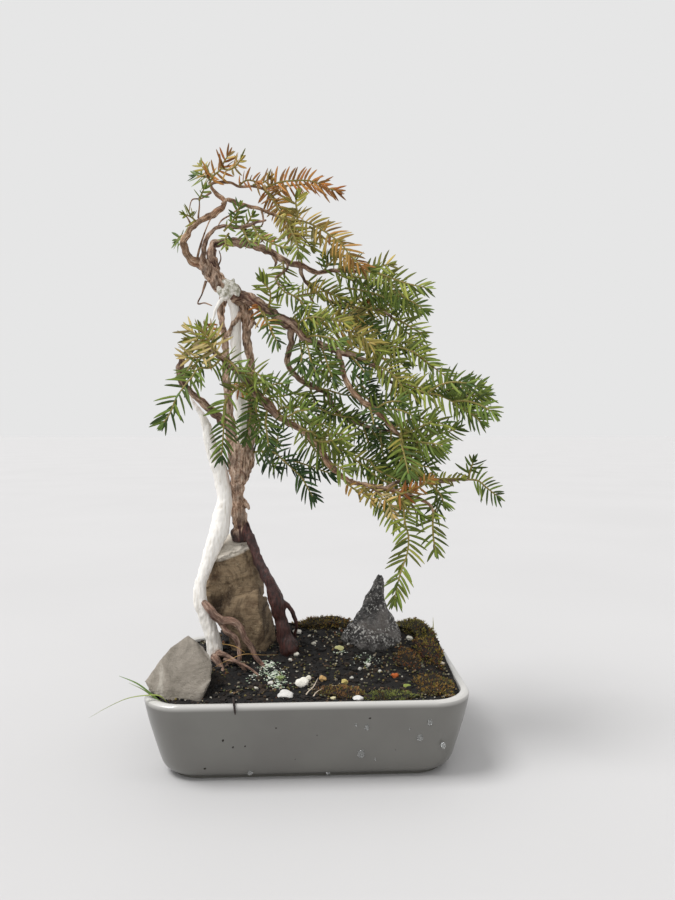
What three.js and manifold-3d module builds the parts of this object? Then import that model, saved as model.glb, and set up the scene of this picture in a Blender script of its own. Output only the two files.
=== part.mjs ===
// A small English yew bonsai in a shallow glazed pot: a windswept tree whose roots
// straddle a tall stone. Millimetres, +Z up, X along the pot's front, +Y away from it.
// The origin is the middle of the pot's flat underside.
import * as THREE from 'three';
import { ConvexGeometry } from 'three/addons/geometries/ConvexGeometry.js';
import { mergeVertices } from 'three/addons/utils/BufferGeometryUtils.js';
import Module from 'manifold-3d';

const wasm = await Module();
wasm.setup();
const { smoothstep, lerp } = THREE.MathUtils;

// The pot
const POT_WIDTH = 200;
const POT_DEPTH = 140;
const POT_HEIGHT = 50;
const POT_CORNER = 24;
const POT_FLOOR = 6;
const POT_WALL = 5;
const DRAIN_RADIUS = 6;
const DRAIN_OFFSET = 48;
const MESH_SIZE = 20;
const MESH_THICKNESS = 1;

// The soil, low behind the front rim and mounded towards the back
const SOIL_AT_FRONT = 47;
const SOIL_MOUND = 17;

// Wood and leaves
const LIMB_STEP = 9;
const NEEDLE_PITCH = 14;
const NEEDLE_WIDTH = 3;
const NEEDLE_LEAN = THREE.MathUtils.degToRad(52);
const SPRAY_THICKNESS = 1.3;
const STEM_HALF_WIDTH = 0.9;
const SPRAY_FACING = new THREE.Vector3(0, -1, 0.25).normalize();

// Clearance between pieces that touch
const GAP = 0.3;

// Flat enough: faces that differ by less than this are joined
const SMOOTHING = 0.1;

const colours = {
  glaze: ['#a9aba6', 0.25],
  mesh: ['#26282a', 0.7],
  soil: ['#2b241d', 0.95],
  tan_stone: ['#8a8272', 0.85],
  grey_stone: ['#a19c92', 0.85],
  dark_stone: ['#4c4e52', 0.8],
  bark: ['#8c6a55', 0.85],
  dead_wood: ['#ece7dc', 0.7],
  moss: ['#5d5a24', 0.95],
  pumice: ['#e6e2d8', 0.9],
  grass: ['#9aa84a', 0.6],
  orange_leaf: ['#a8661f', 0.6],
  lime_leaf: ['#a3ad52', 0.6],
  green_leaf: ['#5b7a33', 0.6],
  dark_leaf: ['#2f4c27', 0.6],
};

function material(slot) {
  const [color, roughness] = colours[slot];
  return new THREE.MeshStandardMaterial({ name: slot, color, roughness, metalness: 0 });
}

function solid(geometry) {
  geometry.deleteAttribute('normal');
  geometry.deleteAttribute('uv');
  const merged = mergeVertices(geometry, 1e-3);
  return new wasm.Manifold(new wasm.Mesh({
    numProp: 3,
    vertProperties: new Float32Array(merged.attributes.position.array),
    triVerts: new Uint32Array(merged.index.array),
  }));
}

function join(solids) {
  return solids.reduce((whole, one) => whole.add(one));
}

function bend(geometry, place) {
  const positions = geometry.attributes.position;
  const point = new THREE.Vector3();
  for (let i = 0; i < positions.count; i += 1) {
    positions.setXYZ(i, ...place(point.fromBufferAttribute(positions, i)).toArray());
  }
  return geometry;
}

// Each piece is cut clear of those already placed, so that it rests on them with GAP between
const yew = new THREE.Group();
const placed = [];

function largest(body) {
  return body.decompose().sort((a, b) => b.volume() - a.volume())[0];
}

function boxesMeet(a, b) {
  return [0, 1, 2].every((k) => a.min[k] < b.max[k] && b.min[k] < a.max[k]);
}

function place(name, slot, make) {
  let body = make(0);
  const box = body.boundingBox();
  for (const other of placed) {
    if (boxesMeet(box, other.box)) body = body.subtract(other.cutter);
  }
  const { vertProperties, triVerts } = largest(largest(body).simplify(SMOOTHING)).getMesh();
  const geometry = new THREE.BufferGeometry();
  geometry.setAttribute('position', new THREE.BufferAttribute(vertProperties, 3));
  geometry.setIndex(new THREE.BufferAttribute(triVerts, 1));
  geometry.computeVertexNormals();
  const mesh = new THREE.Mesh(geometry, material(slot));
  mesh.name = name;
  yew.add(mesh);
  const cutter = make(GAP);
  placed.push({ cutter, box: cutter.boundingBox() });
}

// The pot: rounded rectangles stacked up a profile of [height, inset from the rim]
const POT_PROFILE = [
  [0, 15], [2.2, 15], [2.4, 13.6], [4, 11.4], [8, 9.4], [22, 5.4], [36, 2], [45, 0.3],
  [48.5, 0], [POT_HEIGHT, 2],
];

function cavityProfile(top) {
  return [
    [POT_FLOOR, 18], [12, 14], [22, 10.4], [36, 6.9], [46, POT_WALL + 0.3],
    [top, POT_WALL],
  ];
}

function roundedRectangle(width, depth, corner) {
  const x = width / 2 - corner;
  const y = depth / 2 - corner;
  const outline = new THREE.Shape();
  outline.absarc(x, y, corner, 0, Math.PI / 2);
  outline.absarc(-x, y, corner, Math.PI / 2, Math.PI);
  outline.absarc(-x, -y, corner, Math.PI, 1.5 * Math.PI);
  outline.absarc(x, -y, corner, 1.5 * Math.PI, 2 * Math.PI);
  return outline;
}

function stack(profile, grow = 0) {
  const steps = profile.length - 1;
  const outline = roundedRectangle(POT_WIDTH, POT_DEPTH, POT_CORNER);
  const options = { depth: 1, steps, curveSegments: 3, bevelEnabled: false };
  return solid(bend(new THREE.ExtrudeGeometry(outline, options), (p) => {
    const k = Math.round(p.z * steps);
    const [height, inset] = profile[k];
    const end = k === 0 ? -grow : k === steps ? grow : 0;
    const across = 1 - (inset - grow) / (POT_WIDTH / 2);
    const along = 1 - (inset - grow) / (POT_DEPTH / 2);
    return p.set(p.x * across, p.y * along, height + end);
  }));
}

function drainHole(x) {
  const hole = new THREE.CylinderGeometry(DRAIN_RADIUS, DRAIN_RADIUS, 4 * POT_FLOOR, 20);
  return solid(hole.rotateX(Math.PI / 2).translate(x, 0, 0));
}

place('pot', 'glaze', (grow) => {
  const shell = stack(POT_PROFILE, grow).subtract(stack(cavityProfile(POT_HEIGHT + 1), -grow));
  return grow > 0 ? shell : shell.subtract(drainHole(-DRAIN_OFFSET)).subtract(drainHole(DRAIN_OFFSET));
});

// Plastic mesh squares lie on the floor over the drain holes
for (const [name, x] of [['drain_mesh_left', -DRAIN_OFFSET], ['drain_mesh_right', DRAIN_OFFSET]]) {
  place(name, 'mesh', (grow) => {
    const size = MESH_SIZE + 2 * grow;
    const square = new THREE.BoxGeometry(size, size, MESH_THICKNESS + 2 * grow);
    return solid(square.translate(x, 0, POT_FLOOR + GAP + MESH_THICKNESS / 2));
  });
}

// Stones: each is one or two convex blocks with hand-placed corners, sunk into the soil
function block(corners, grow) {
  const middle = new THREE.Vector3();
  const points = corners.map((corner) => new THREE.Vector3(...corner));
  points.forEach((point) => middle.addScaledVector(point, 1 / points.length));
  points.forEach((point) => {
    const out = point.clone().sub(middle);
    point.addScaledVector(out.normalize(), grow * 1.5);
  });
  return solid(new ConvexGeometry(points));
}

const tallStone = [
  [
    [-62, 22, 128], [-54, 27, 134], [-45, 27, 135], [-39, 20, 132], [-66, 12, 123],
    [-61, 4, 121], [-49, 2, 122], [-39, 6, 126], [-71, 12, 112], [-70, 10, 99], [-59, 5, 85],
    [-36, 6, 117], [-35, 6, 107], [-32, 12, 95], [-36, 0, 96], [-38, 30, 116], [-34, 34, 90],
    [-62, 36, 78], [-70, 30, 102],
  ],
  [
    [-59, 5, 89], [-53, 2, 71], [-50, 3, 44], [-36, -1, 97], [-31, -2, 78], [-28, 2, 44],
    [-30, 10, 94], [-25, 14, 82], [-23, 16, 62], [-22, 18, 44], [-28, 36, 82], [-25, 38, 42],
    [-61, 36, 78], [-54, 40, 42],
  ],
];

const greyStone = [[
  [-77, -28, 79], [-72, -34, 77], [-87, -34, 73], [-96, -42, 61], [-102, -40, 54],
  [-97, -48, 52], [-87, -52, 46], [-77, -55, 41], [-67, -55, 41], [-63, -53, 52],
  [-60, -48, 57], [-60, -40, 64], [-63, -30, 67], [-68, -26, 71], [-88, -12, 65],
  [-101, -18, 53], [-72, -10, 60], [-92, -14, 43], [-67, -16, 39], [-85, -48, 42],
]];

const darkStone = [
  [
    [50, 22, 107], [54, 20, 105], [55, 18, 96], [54, 16, 89], [57, 16, 82], [46, 24, 102],
    [45, 22, 95], [40, 22, 87], [35, 22, 78], [46, 12, 91], [48, 8, 81], [52, 28, 94],
    [56, 32, 82], [42, 32, 78],
  ],
  [
    [35, 22, 80], [41, 14, 88], [54, 14, 88], [58, 16, 81], [62, 16, 73], [68, 16, 61],
    [72, 14, 44], [63, 2, 42], [48, -4, 42], [31, 2, 43], [23, 14, 48], [21, 18, 56],
    [24, 20, 66], [30, 20, 73], [44, 4, 77], [50, 1, 65], [36, 4, 57], [64, 34, 69],
    [70, 34, 44], [27, 34, 50], [38, 34, 74],
  ],
];

const stones = [
  ['tall_stone', 'tan_stone', tallStone],
  ['dark_stone', 'dark_stone', darkStone],
  ['grey_stone', 'grey_stone', greyStone],
];
for (const [name, slot, blocks] of stones) {
  place(name, slot, (grow) => join(blocks.map((corners) => block(corners, grow))));
}

// Wood: a limb follows hand-picked points of [x, y, z, radius]
function radiusAt(route, t) {
  const along = t * (route.length - 1);
  const i = Math.min(Math.floor(along), route.length - 2);
  return lerp(route[i][3], route[i + 1][3], along - i);
}

function limb(route, grow) {
  const curve = new THREE.CatmullRomCurve3(route.map(([x, y, z]) => new THREE.Vector3(x, y, z)));
  const steps = Math.max(3, Math.round(curve.getLength() / LIMB_STEP));
  const { normals, binormals, tangents } = curve.computeFrenetFrames(steps);
  const sides = route[0][3] > 4 ? 8 : 6;
  return solid(bend(new THREE.CylinderGeometry(1, 1, 1, sides, steps), (p) => {
    const k = Math.round((p.y + 0.5) * steps);
    const t = curve.getUtoTmapping(k / steps);
    const radius = radiusAt(route, t) + grow;
    const end = k === 0 ? -grow : k === steps ? grow : 0;
    return curve.getPoint(t)
      .addScaledVector(tangents[k], end)
      .addScaledVector(normals[k], p.x * radius)
      .addScaledVector(binormals[k], -p.z * radius);
  }));
}

function wood(name, slot, routes) {
  place(name, slot, (grow) => join(routes.map((route) => limb(route, grow))));
}

// The living trunk: a waist above the stone, two strands that part and join again at the
// old wound, the piece that leans left from there, and the root down the stone's right
wood('trunk', 'bark', [
  [
    [-47, 16, 135, 7.0], [-48, 16, 146, 5.4], [-49, 15, 157, 4.8], [-49, 14, 168, 4.6],
    [-48, 13, 177, 6.0], [-48, 13, 188, 7.4], [-48, 13, 198, 8.2], [-48, 13, 206, 7.6],
  ],
  [
    [-52, 12, 199, 4.6], [-53, 11, 214, 4.2], [-53, 11, 228, 3.9], [-54, 11, 245, 3.4],
    [-55, 11, 265, 2.8], [-56, 11, 278, 2.6], [-59, 11, 292, 2.6], [-56, 11, 305, 3.4],
  ],
  [
    [-43, 13, 195, 5.0], [-41, 14, 214, 4.6], [-40, 14, 235, 4.0], [-42, 14, 256, 3.4],
    [-44, 14, 270, 3.2], [-45, 13, 286, 3.2], [-46, 12, 297, 3.6], [-50, 11, 305, 4.4],
  ],
  [
    [-47, 11, 302, 5.0], [-53, 11, 307, 6.4], [-59, 11, 310, 5.8], [-65, 10, 316, 5.2],
    [-71, 10, 323, 4.6], [-76, 9, 327, 3.6],
  ],
  [
    [-46, 9, 291, 1.8], [-51, 7, 283, 1.6], [-56, 9, 275, 1.8],
  ],
  [
    [-44, 15, 145, 3.2], [-41, 11, 136, 3.2], [-38, 8, 129, 3.5], [-35, 5, 121, 4.4],
    [-31, 2, 113, 4.8], [-28, 1, 105, 5.2], [-24, 0, 96, 5.0], [-21, 1, 86, 5.0], [-19, 2, 74, 5.6],
    [-17, 3, 62, 7.0], [-17, 4, 49, 8.4],
  ],
  [
    [-23, 0, 93, 2.4], [-17, -2, 92, 2.0], [-12, -2, 87, 1.8], [-8, 0, 80, 1.6], [-6, 4, 69, 1.5],
    [-5, 7, 60, 1.5],
  ],
]);

// Bleached dead wood: the root and strip on the left, up to a bare snag
wood('bleached_root', 'dead_wood', [
  [
    [-81, 6, 234, 0.8], [-75, 7, 225, 1.8], [-70, 8, 214, 2.9], [-68, 10, 203, 3.6],
    [-64, 12, 190, 4.6], [-60, 13, 176, 4.7], [-58, 13, 163, 4.9], [-60, 12, 151, 6.1],
    [-62, 10, 140, 6.4], [-67, 8, 126, 5.2], [-71, 6, 114, 4.0], [-74, 5, 103, 3.6],
    [-73, 5, 90, 4.4], [-70, 5, 78, 4.6], [-67, 5, 66, 4.8], [-65, 5, 52, 4.8],
  ],
]);

// Bleached dead wood between the two living strands, up to the knot at the old wound
wood('bleached_heart', 'dead_wood', [
  [
    [-46, 9, 199, 2.6], [-46, 8, 214, 3.6], [-46, 8, 228, 4.0], [-47, 8, 242, 3.4],
    [-49, 10, 259, 3.4], [-50, 11, 276, 3.8], [-50, 11, 292, 3.4], [-53, 9, 302, 3.6],
  ],
  [
    [-52, 5, 302, 2.6], [-55, 4, 307, 2.2], [-58, 3, 300, 1.6], [-62, 2, 293, 1.2],
    [-64, 1, 284, 0.8],
  ],
]);

// Fine roots that fan out over the soil at the foot of the bleached root
wood('surface_roots', 'bark', [
  [
    [-68, 0, 95, 3.0], [-64, -3, 89, 2.8], [-59, -5, 84, 2.6], [-52, -6, 83, 2.4],
    [-46, -6, 78, 2.3], [-41, -6, 70, 2.1], [-37, -7, 62, 2.0], [-31, -9, 54, 1.7],
    [-26, -11, 49, 1.4],
  ],
  [
    [-59, -5, 84, 2.4], [-55, -7, 75, 2.2], [-49, -9, 70, 2.0], [-46, -10, 65, 1.8],
    [-45, -10, 54, 1.8],
  ],
  [
    [-64, -3, 89, 2.8], [-65, -5, 77, 2.6], [-65, -8, 66, 2.6], [-61, -12, 55, 2.4],
    [-56, -18, 46, 1.8],
  ],
  [
    [-65, -8, 66, 2.4], [-58, -11, 63, 1.9], [-51, -13, 60, 1.7], [-45, -15, 56, 1.6],
    [-37, -18, 49, 1.4],
  ],
]);

// The leader arches up on the left and ends in two twigs that the wind swept right
wood('leader', 'bark', [
  [
    [-75, 9, 325, 3.2], [-80, 7, 327, 2.6], [-83, 5, 332, 2.3], [-84, 4, 338, 2.2],
    [-81, 3, 344, 2.1], [-76, 3, 349, 2.0], [-70, 4, 354, 1.9], [-63, 5, 358, 1.8],
    [-58, 6, 363, 1.7], [-57, 7, 367, 1.6], [-61, 8, 371, 1.5], [-65, 8, 375, 1.3],
    [-67, 8, 380, 1.1],
  ],
  [
    [-58, 6, 364, 1.5], [-54, 4, 367, 1.4], [-46, 2, 363, 1.3], [-36, 1, 361, 1.2],
    [-28, 0, 358, 1.1], [-21, -1, 355, 0.9],
  ],
  [
    [-67, 8, 377, 1.1], [-63, 9, 380, 1.0], [-54, 11, 381, 1.0], [-47, 13, 379, 0.9],
    [-39, 15, 380, 0.9], [-30, 17, 379, 0.9],
  ],
]);

// Branches, thickest first, each from the limb that carries it
wood('upper_branch', 'bark', [
  [
    [-65, 12, 315, 4.0], [-65, 15, 323, 3.4], [-67, 18, 332, 3.0], [-67, 20, 339, 2.8],
    [-62, 21, 342, 2.7], [-49, 20, 343, 2.6], [-37, 18, 340, 2.5], [-28, 16, 336, 2.3],
    [-19, 13, 330, 2.2], [-12, 11, 326, 2.0], [-4, 9, 324, 1.8], [6, 7, 319, 1.5], [17, 4, 320, 1.3],
    [29, 2, 319, 1.2], [38, 0, 319, 1.0],
  ],
]);

wood('upper_twig', 'bark', [
  [
    [-72, 7, 324, 2.0], [-70, 0, 332, 1.6], [-67, -5, 338, 1.4], [-63, -9, 342, 1.3],
    [-56, -12, 344, 1.2], [-48, -14, 343, 1.1], [-40, -16, 343, 1.0], [-34, -18, 345, 0.9],
    [-27, -20, 346, 0.8],
  ],
]);

wood('main_branch', 'bark', [
  [
    [-50, 10, 300, 4.8], [-42, 4, 301, 4.2], [-34, -1, 296, 3.8], [-25, -4, 290, 3.5],
    [-17, -6, 284, 3.2], [-9, -8, 279, 3.0], [-2, -10, 272, 2.7], [8, -11, 267, 2.3],
    [19, -11, 263, 2.0], [30, -11, 260, 1.8], [39, -11, 256, 1.6], [47, -12, 251, 1.4],
    [53, -13, 244, 1.2], [60, -14, 240, 1.0],
  ],
]);

wood('hanging_branch', 'bark', [
  [
    [-11, -8, 279, 2.4], [-11, -5, 271, 2.1], [-13, -1, 262, 2.0], [-14, 2, 256, 2.0],
    [-10, 5, 250, 1.9], [-3, 8, 244, 1.8], [6, 11, 240, 1.7], [14, 14, 235, 1.6], [19, 17, 226, 1.5],
    [26, 20, 219, 1.4], [37, 23, 215, 1.3], [49, 25, 212, 1.1], [61, 27, 210, 1.0],
  ],
]);

wood('low_branch', 'bark', [
  [
    [-58, 10, 216, 3.4], [-64, 6, 222, 2.7], [-70, 2, 228, 2.4], [-75, -2, 233, 2.3],
    [-81, -6, 239, 2.2], [-84, -9, 244, 2.1], [-84, -12, 251, 2.1], [-82, -15, 258, 2.0],
    [-76, -18, 262, 2.0], [-70, -21, 264, 2.0], [-62, -23, 262, 2.1], [-55, -24, 257, 2.2],
    [-47, -24, 250, 2.3], [-40, -24, 242, 2.4], [-33, -24, 234, 2.5], [-28, -24, 228, 2.5],
    [-21, -24, 221, 2.4],
  ],
]);

wood('low_branch_end', 'bark', [
  [
    [-21, -24, 221, 2.3], [-14, -24, 216, 2.1], [-6, -24, 212, 2.0], [2, -25, 205, 1.9],
    [8, -26, 198, 1.8], [13, -27, 189, 1.8], [20, -28, 182, 1.7], [28, -29, 177, 1.6],
    [38, -30, 175, 1.5], [49, -31, 173, 1.4], [60, -32, 170, 1.2], [70, -33, 167, 1.1],
    [77, -34, 163, 1.0], [80, -34, 158, 0.9],
  ],
]);

wood('brown_stick', 'bark', [
  [
    [20, -11, 263, 1.8], [22, -15, 255, 1.7], [24, -18, 246, 1.7], [28, -20, 237, 1.8],
    [36, -21, 229, 1.9], [46, -21, 222, 1.9], [54, -21, 213, 1.6], [60, -20, 207, 1.2],
  ],
]);

wood('middle_twig', 'bark', [
  [
    [-5, 9, 324, 1.5], [-3, 17, 317, 1.2], [4, 24, 311, 1.2], [15, 29, 304, 1.2], [28, 32, 302, 1.2],
    [40, 34, 299, 1.1], [52, 35, 299, 1.0], [61, 36, 294, 1.0], [69, 36, 286, 0.9],
  ],
]);

wood('right_twig', 'bark', [
  [
    [49, -31, 173, 1.2], [59, -24, 177, 1.2], [69, -18, 179, 1.2], [78, -14, 178, 1.2],
    [89, -11, 176, 1.1], [99, -9, 177, 1.0], [109, -7, 177, 0.9],
  ],
]);

// Moss cushions and pumice grains, half sunk into the soil
function soilHeight(x, y) {
  const back = smoothstep(y, -56, 40) * (1 - 0.75 * smoothstep(y, 46, 58));
  const side = smoothstep(x, -92, -50) * (1 - 0.35 * smoothstep(x, 72, 95));
  return SOIL_AT_FRONT + SOIL_MOUND * back * side + 0.4 * Math.sin(x / 5) * Math.cos(y / 4);
}

function lump(x, y, [rx, ry, rz], lift, grow) {
  const ball = new THREE.SphereGeometry(1, 9, 5);
  ball.scale(rx + grow, ry + grow, rz + grow);
  return solid(ball.translate(x, y, soilHeight(x, y) + lift));
}

place('moss_back', 'moss', (grow) => lump(12, 43, [22, 9, 6], 0.5, grow));
place('moss_right', 'moss', (grow) => lump(81, 34, [12, 17, 7], 0.5, grow));
place('pumice_grain', 'pumice', (grow) => lump(-4, -42, [4, 3, 3.2], 1, grow));

// A blade of grass that leans out over the left rim
wood('grass_blade', 'grass', [
  [
    [-83, -58, 46, 1.2], [-88, -60, 52.5, 1.1], [-97, -60, 53, 1], [-109, -57, 50, 0.9],
    [-122, -53, 43, 0.8], [-133, -50, 36, 0.7],
  ],
]);

// Leafy sprays: each shoot is a thin strip whose edges are drawn out into pairs of needles,
// given as needle length and then the points [x, y, z] that its stem follows
function spray(shoot, grow) {
  const [needle, ...route] = shoot;
  const curve = new THREE.CatmullRomCurve3(route.map((point) => new THREE.Vector3(...point)));
  const length = curve.getLength();
  const pairs = Math.max(2, Math.round(length / NEEDLE_PITCH));
  const thickness = SPRAY_THICKNESS + 2 * grow;
  const strip = new THREE.BoxGeometry(1, 2, thickness, 3 * pairs, 2, 1);
  return solid(bend(strip, (p) => {
    const column = Math.round((p.x + 0.5) * 3 * pairs);
    const pair = Math.floor(column / 3);
    const foot = (pair * length) / pairs;
    const reach = needle * (0.75 + 0.25 * Math.sin((Math.PI * (pair + 1)) / (pairs + 1)));
    const lean = [Math.cos(NEEDLE_LEAN), Math.sin(NEEDLE_LEAN)];
    const edge = [
      [foot - grow, STEM_HALF_WIDTH + grow],
      [foot + reach * lean[0] + grow, reach * lean[1] + grow],
      [foot + NEEDLE_WIDTH + grow, STEM_HALF_WIDTH + grow],
    ][column % 3];
    const middle = foot + 0.37 * NEEDLE_WIDTH * (column % 3);
    const tip = pair === pairs ? needle * 0.6 + grow : -grow * Number(column === 0);
    const x = p.y === 0 ? middle + tip : edge[0];

    const u = THREE.MathUtils.clamp(x / length, 0, 1);
    const tangent = curve.getTangentAt(u);
    const across = new THREE.Vector3().crossVectors(SPRAY_FACING, tangent).normalize();
    const up = new THREE.Vector3().crossVectors(tangent, across);
    return curve.getPointAt(u)
      .addScaledVector(tangent, x - u * length)
      .addScaledVector(across, p.y * edge[1])
      .addScaledVector(up, p.z);
  }));
}

const sprays = [
  ['apex_spray', 'orange_leaf', [
    [9, [-67, 8, 379], [-64, 5, 383], [-59, 2, 386], [-56, 0, 391], [-53, -2, 394]],
    [8, [-58, 2, 387], [-52, -4, 384], [-47, -9, 385], [-44, -13, 387]],
    [7, [-64, 5, 383], [-69, 8, 387], [-73, 11, 392]],
    [8, [-64, 5, 383], [-70, 10, 384], [-77, 15, 387]],
  ]],
  ['crown_tip_spray', 'orange_leaf', [
    [11, [-30, 17, 379], [-21, 20, 382], [-10, 23, 384], [0, 26, 386], [10, 28, 385], [20, 29, 383]],
  ]],
  ['crown_inner_spray', 'orange_leaf', [
    [10, [-31, 17, 379], [-25, 12, 371], [-20, 8, 362], [-14, 5, 353], [-9, 2, 342]],
  ]],
  ['crown_middle_spray', 'orange_leaf', [
    [9, [-21, -1, 355], [-13, -5, 351], [-3, -9, 349], [7, -12, 344], [15, -15, 338], [22, -17, 332],
     [28, -18, 324], [35, -18, 318]],
    [9, [-7, -7, 350], [-7, -10, 355], [-8, -12, 360], [-7, -13, 364]],
  ]],
  ['upper_end_spray', 'green_leaf', [
    [10, [37, 0, 319], [45, -3, 317], [53, -6, 314], [62, -9, 310], [70, -12, 307], [78, -14, 305]],
    [10, [51, -5, 314], [58, -1, 309], [65, 3, 303], [73, 6, 299], [80, 8, 295]],
  ]],
  ['upper_back_spray', 'green_leaf', [
    [11, [17, 4, 320], [24, 12, 318], [35, 18, 315], [46, 23, 312], [56, 27, 309], [67, 30, 305]],
  ]],
  ['inner_drooping_spray', 'green_leaf', [
    [10, [-17, 12, 329], [-17, 5, 319], [-21, 0, 311], [-15, -4, 303], [-7, -8, 299], [-2, -11, 291],
     [1, -14, 282]],
  ]],
  ['middle_top_spray', 'green_leaf', [
    [12, [40, 34, 299], [50, 40, 303], [62, 45, 304], [73, 49, 302], [83, 52, 300]],
  ]],
  ['middle_end_spray', 'green_leaf', [
    [15, [68, 36, 287], [74, 37, 282], [80, 38, 277], [85, 39, 272]],
  ]],
  ['middle_under_spray', 'green_leaf', [
    [11, [28, 32, 302], [33, 38, 295], [41, 43, 290], [50, 47, 287]],
  ]],
  ['main_under_spray', 'green_leaf', [
    [9, [-31, -2, 294], [-28, -9, 285], [-24, -14, 276], [-20, -18, 268]],
  ]],
  ['main_front_spray', 'green_leaf', [
    [10, [-2, -10, 272], [0, -17, 264], [2, -22, 255], [6, -26, 245]],
    [9, [-2, -10, 272], [4, -19, 272], [12, -26, 270], [20, -31, 267]],
  ]],
  ['main_middle_spray', 'green_leaf', [
    [9, [9, -11, 266], [11, -18, 259], [13, -23, 252], [16, -27, 244]],
  ]],
  ['main_fan_spray', 'lime_leaf', [
    [12, [42, -11, 254], [48, -15, 252], [53, -18, 249], [58, -21, 244], [62, -23, 238]],
  ]],
  ['outer_upper_spray', 'green_leaf', [
    [11, [24, -10, 262], [30, -7, 268], [38, -4, 271], [47, -3, 270], [57, -6, 267], [65, -9, 265],
     [73, -12, 261], [81, -15, 254], [88, -18, 248], [95, -20, 243]],
  ]],
  ['outer_tip_spray', 'green_leaf', [
    [11, [60, -14, 240], [68, -19, 238], [76, -23, 235], [85, -26, 233], [93, -28, 229],
     [102, -30, 223], [111, -31, 216]],
    [10, [87, -27, 232], [97, -22, 234], [107, -18, 235], [118, -15, 235]],
    [10, [93, -28, 229], [101, -34, 229], [109, -39, 226], [115, -42, 222]],
  ]],
  ['left_lime_spray', 'lime_leaf', [
    [14, [-55, -24, 257], [-59, -30, 261], [-64, -34, 266], [-69, -37, 269], [-73, -39, 272]],
    [13, [-61, -31, 263], [-63, -36, 268], [-66, -40, 273]],
  ]],
  ['left_front_spray', 'green_leaf', [
    [14, [-55, -24, 257], [-61, -30, 250], [-68, -35, 249], [-72, -39, 243], [-77, -42, 236],
     [-81, -44, 229], [-84, -45, 221], [-88, -45, 215]],
  ]],
  ['trunk_front_spray', 'green_leaf', [
    [10, [-40, -24, 242], [-46, -30, 236], [-51, -33, 230], [-53, -34, 222], [-53, -34, 212],
     [-54, -32, 202], [-55, -30, 194]],
  ]],
  ['trunk_fern_spray', 'green_leaf', [
    [9, [-33, -24, 234], [-37, -17, 228], [-38, -13, 219], [-40, -11, 211], [-42, -10, 205]],
  ]],
  ['low_top_spray', 'green_leaf', [
    [11, [-29, -24, 229], [-24, -17, 232], [-17, -12, 233], [-10, -8, 235], [-3, -4, 233]],
  ]],
  ['low_middle_spray', 'green_leaf', [
    [11, [-21, -24, 221], [-16, -29, 225], [-10, -33, 224], [-3, -36, 226]],
    [10, [-20, -24, 220], [-13, -32, 219], [-7, -38, 222], [1, -43, 223]],
  ]],
  ['dark_spray', 'dark_leaf', [
    [10, [-39, 13, 195], [-31, 8, 196], [-23, 4, 195], [-17, 0, 190], [-10, -3, 184], [-4, -6, 178],
     [0, -8, 171], [3, -9, 166]],
    [10, [-23, 4, 194], [-21, 0, 202], [-20, -4, 209]],
    [10, [-17, 0, 190], [-9, 5, 189], [0, 9, 186], [8, 12, 183], [16, 14, 180]],
  ]],
  ['low_mass_spray', 'green_leaf', [
    [11, [2, -25, 205], [9, -30, 203], [16, -34, 204], [22, -38, 205]],
  ]],
  ['hanging_spray', 'green_leaf', [
    [12, [6, 11, 240], [14, 5, 238], [23, 0, 235], [30, -4, 234]],
  ]],
  ['hanging_dark_spray', 'dark_leaf', [
    [10, [26, 20, 219], [34, 26, 213], [43, 30, 209], [53, 34, 206]],
  ]],
  ['stick_spray', 'dark_leaf', [
    [9, [29, -20, 236], [35, -13, 240], [42, -8, 234], [49, -4, 229]],
  ]],
  ['right_mass_spray', 'green_leaf', [
    [11, [60, -20, 207], [67, -25, 210], [73, -30, 213], [79, -34, 216]],
    [11, [60, -20, 207], [70, -18, 207], [80, -16, 207], [91, -14, 209], [99, -13, 211]],
    [11, [62, -20, 205], [70, -27, 203], [78, -33, 202], [85, -38, 201]],
    [11, [60, -20, 207], [68, -13, 199], [77, -7, 195], [88, -3, 194]],
    [10, [60, -20, 207], [61, -28, 198], [62, -34, 191], [63, -39, 183]],
  ]],
  ['bottom_spray', 'green_leaf', [
    [12, [2, -25, 205], [13, -20, 202], [23, -16, 197], [33, -13, 193], [43, -11, 189], [54, -9, 185],
     [64, -8, 181]],
    [10, [40, -12, 191], [46, -17, 184], [54, -21, 180], [61, -25, 177]],
  ]],
  ['bottom_dry_spray', 'orange_leaf', [
    [9, [41, -30, 175], [45, -36, 169], [50, -41, 165], [52, -45, 158]],
  ]],
  ['long_drooping_spray', 'green_leaf', [
    [12, [57, -32, 170], [60, -36, 162], [61, -39, 152], [63, -41, 143], [62, -42, 133],
     [59, -43, 125], [56, -43, 115], [54, -43, 105]],
  ]],
  ['short_drooping_spray', 'green_leaf', [
    [9, [80, -34, 159], [79, -37, 151], [79, -39, 143], [80, -40, 135]],
  ]],
  ['right_under_spray', 'green_leaf', [
    [9, [87, -11, 176], [85, -17, 169], [85, -22, 163], [83, -25, 157]],
  ]],
  ['right_tip_spray', 'green_leaf', [
    [10, [107, -7, 177], [116, -4, 176], [123, -1, 171], [131, 2, 165]],
    [9, [109, -7, 177], [109, -12, 184], [110, -16, 189]],
  ]],
];
for (const [name, slot, shoots] of sprays) {
  place(name, slot, (grow) => join(shoots.map((shoot) => spray(shoot, grow))));
}

// The soil fills the pot and closes round all that stands in it
place('soil', 'soil', () => {
  const ground = new THREE.BoxGeometry(POT_WIDTH, POT_DEPTH, 1, 12, 8, 1);
  const heap = solid(bend(ground, (p) => p.setZ(p.z < 0 ? 0 : soilHeight(p.x, p.y))));
  return heap.intersect(stack(cavityProfile(2 * POT_HEIGHT), -GAP));
});

export default yew;
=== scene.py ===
import math
import random

import bpy
import numpy as np
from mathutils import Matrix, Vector, noise


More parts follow.
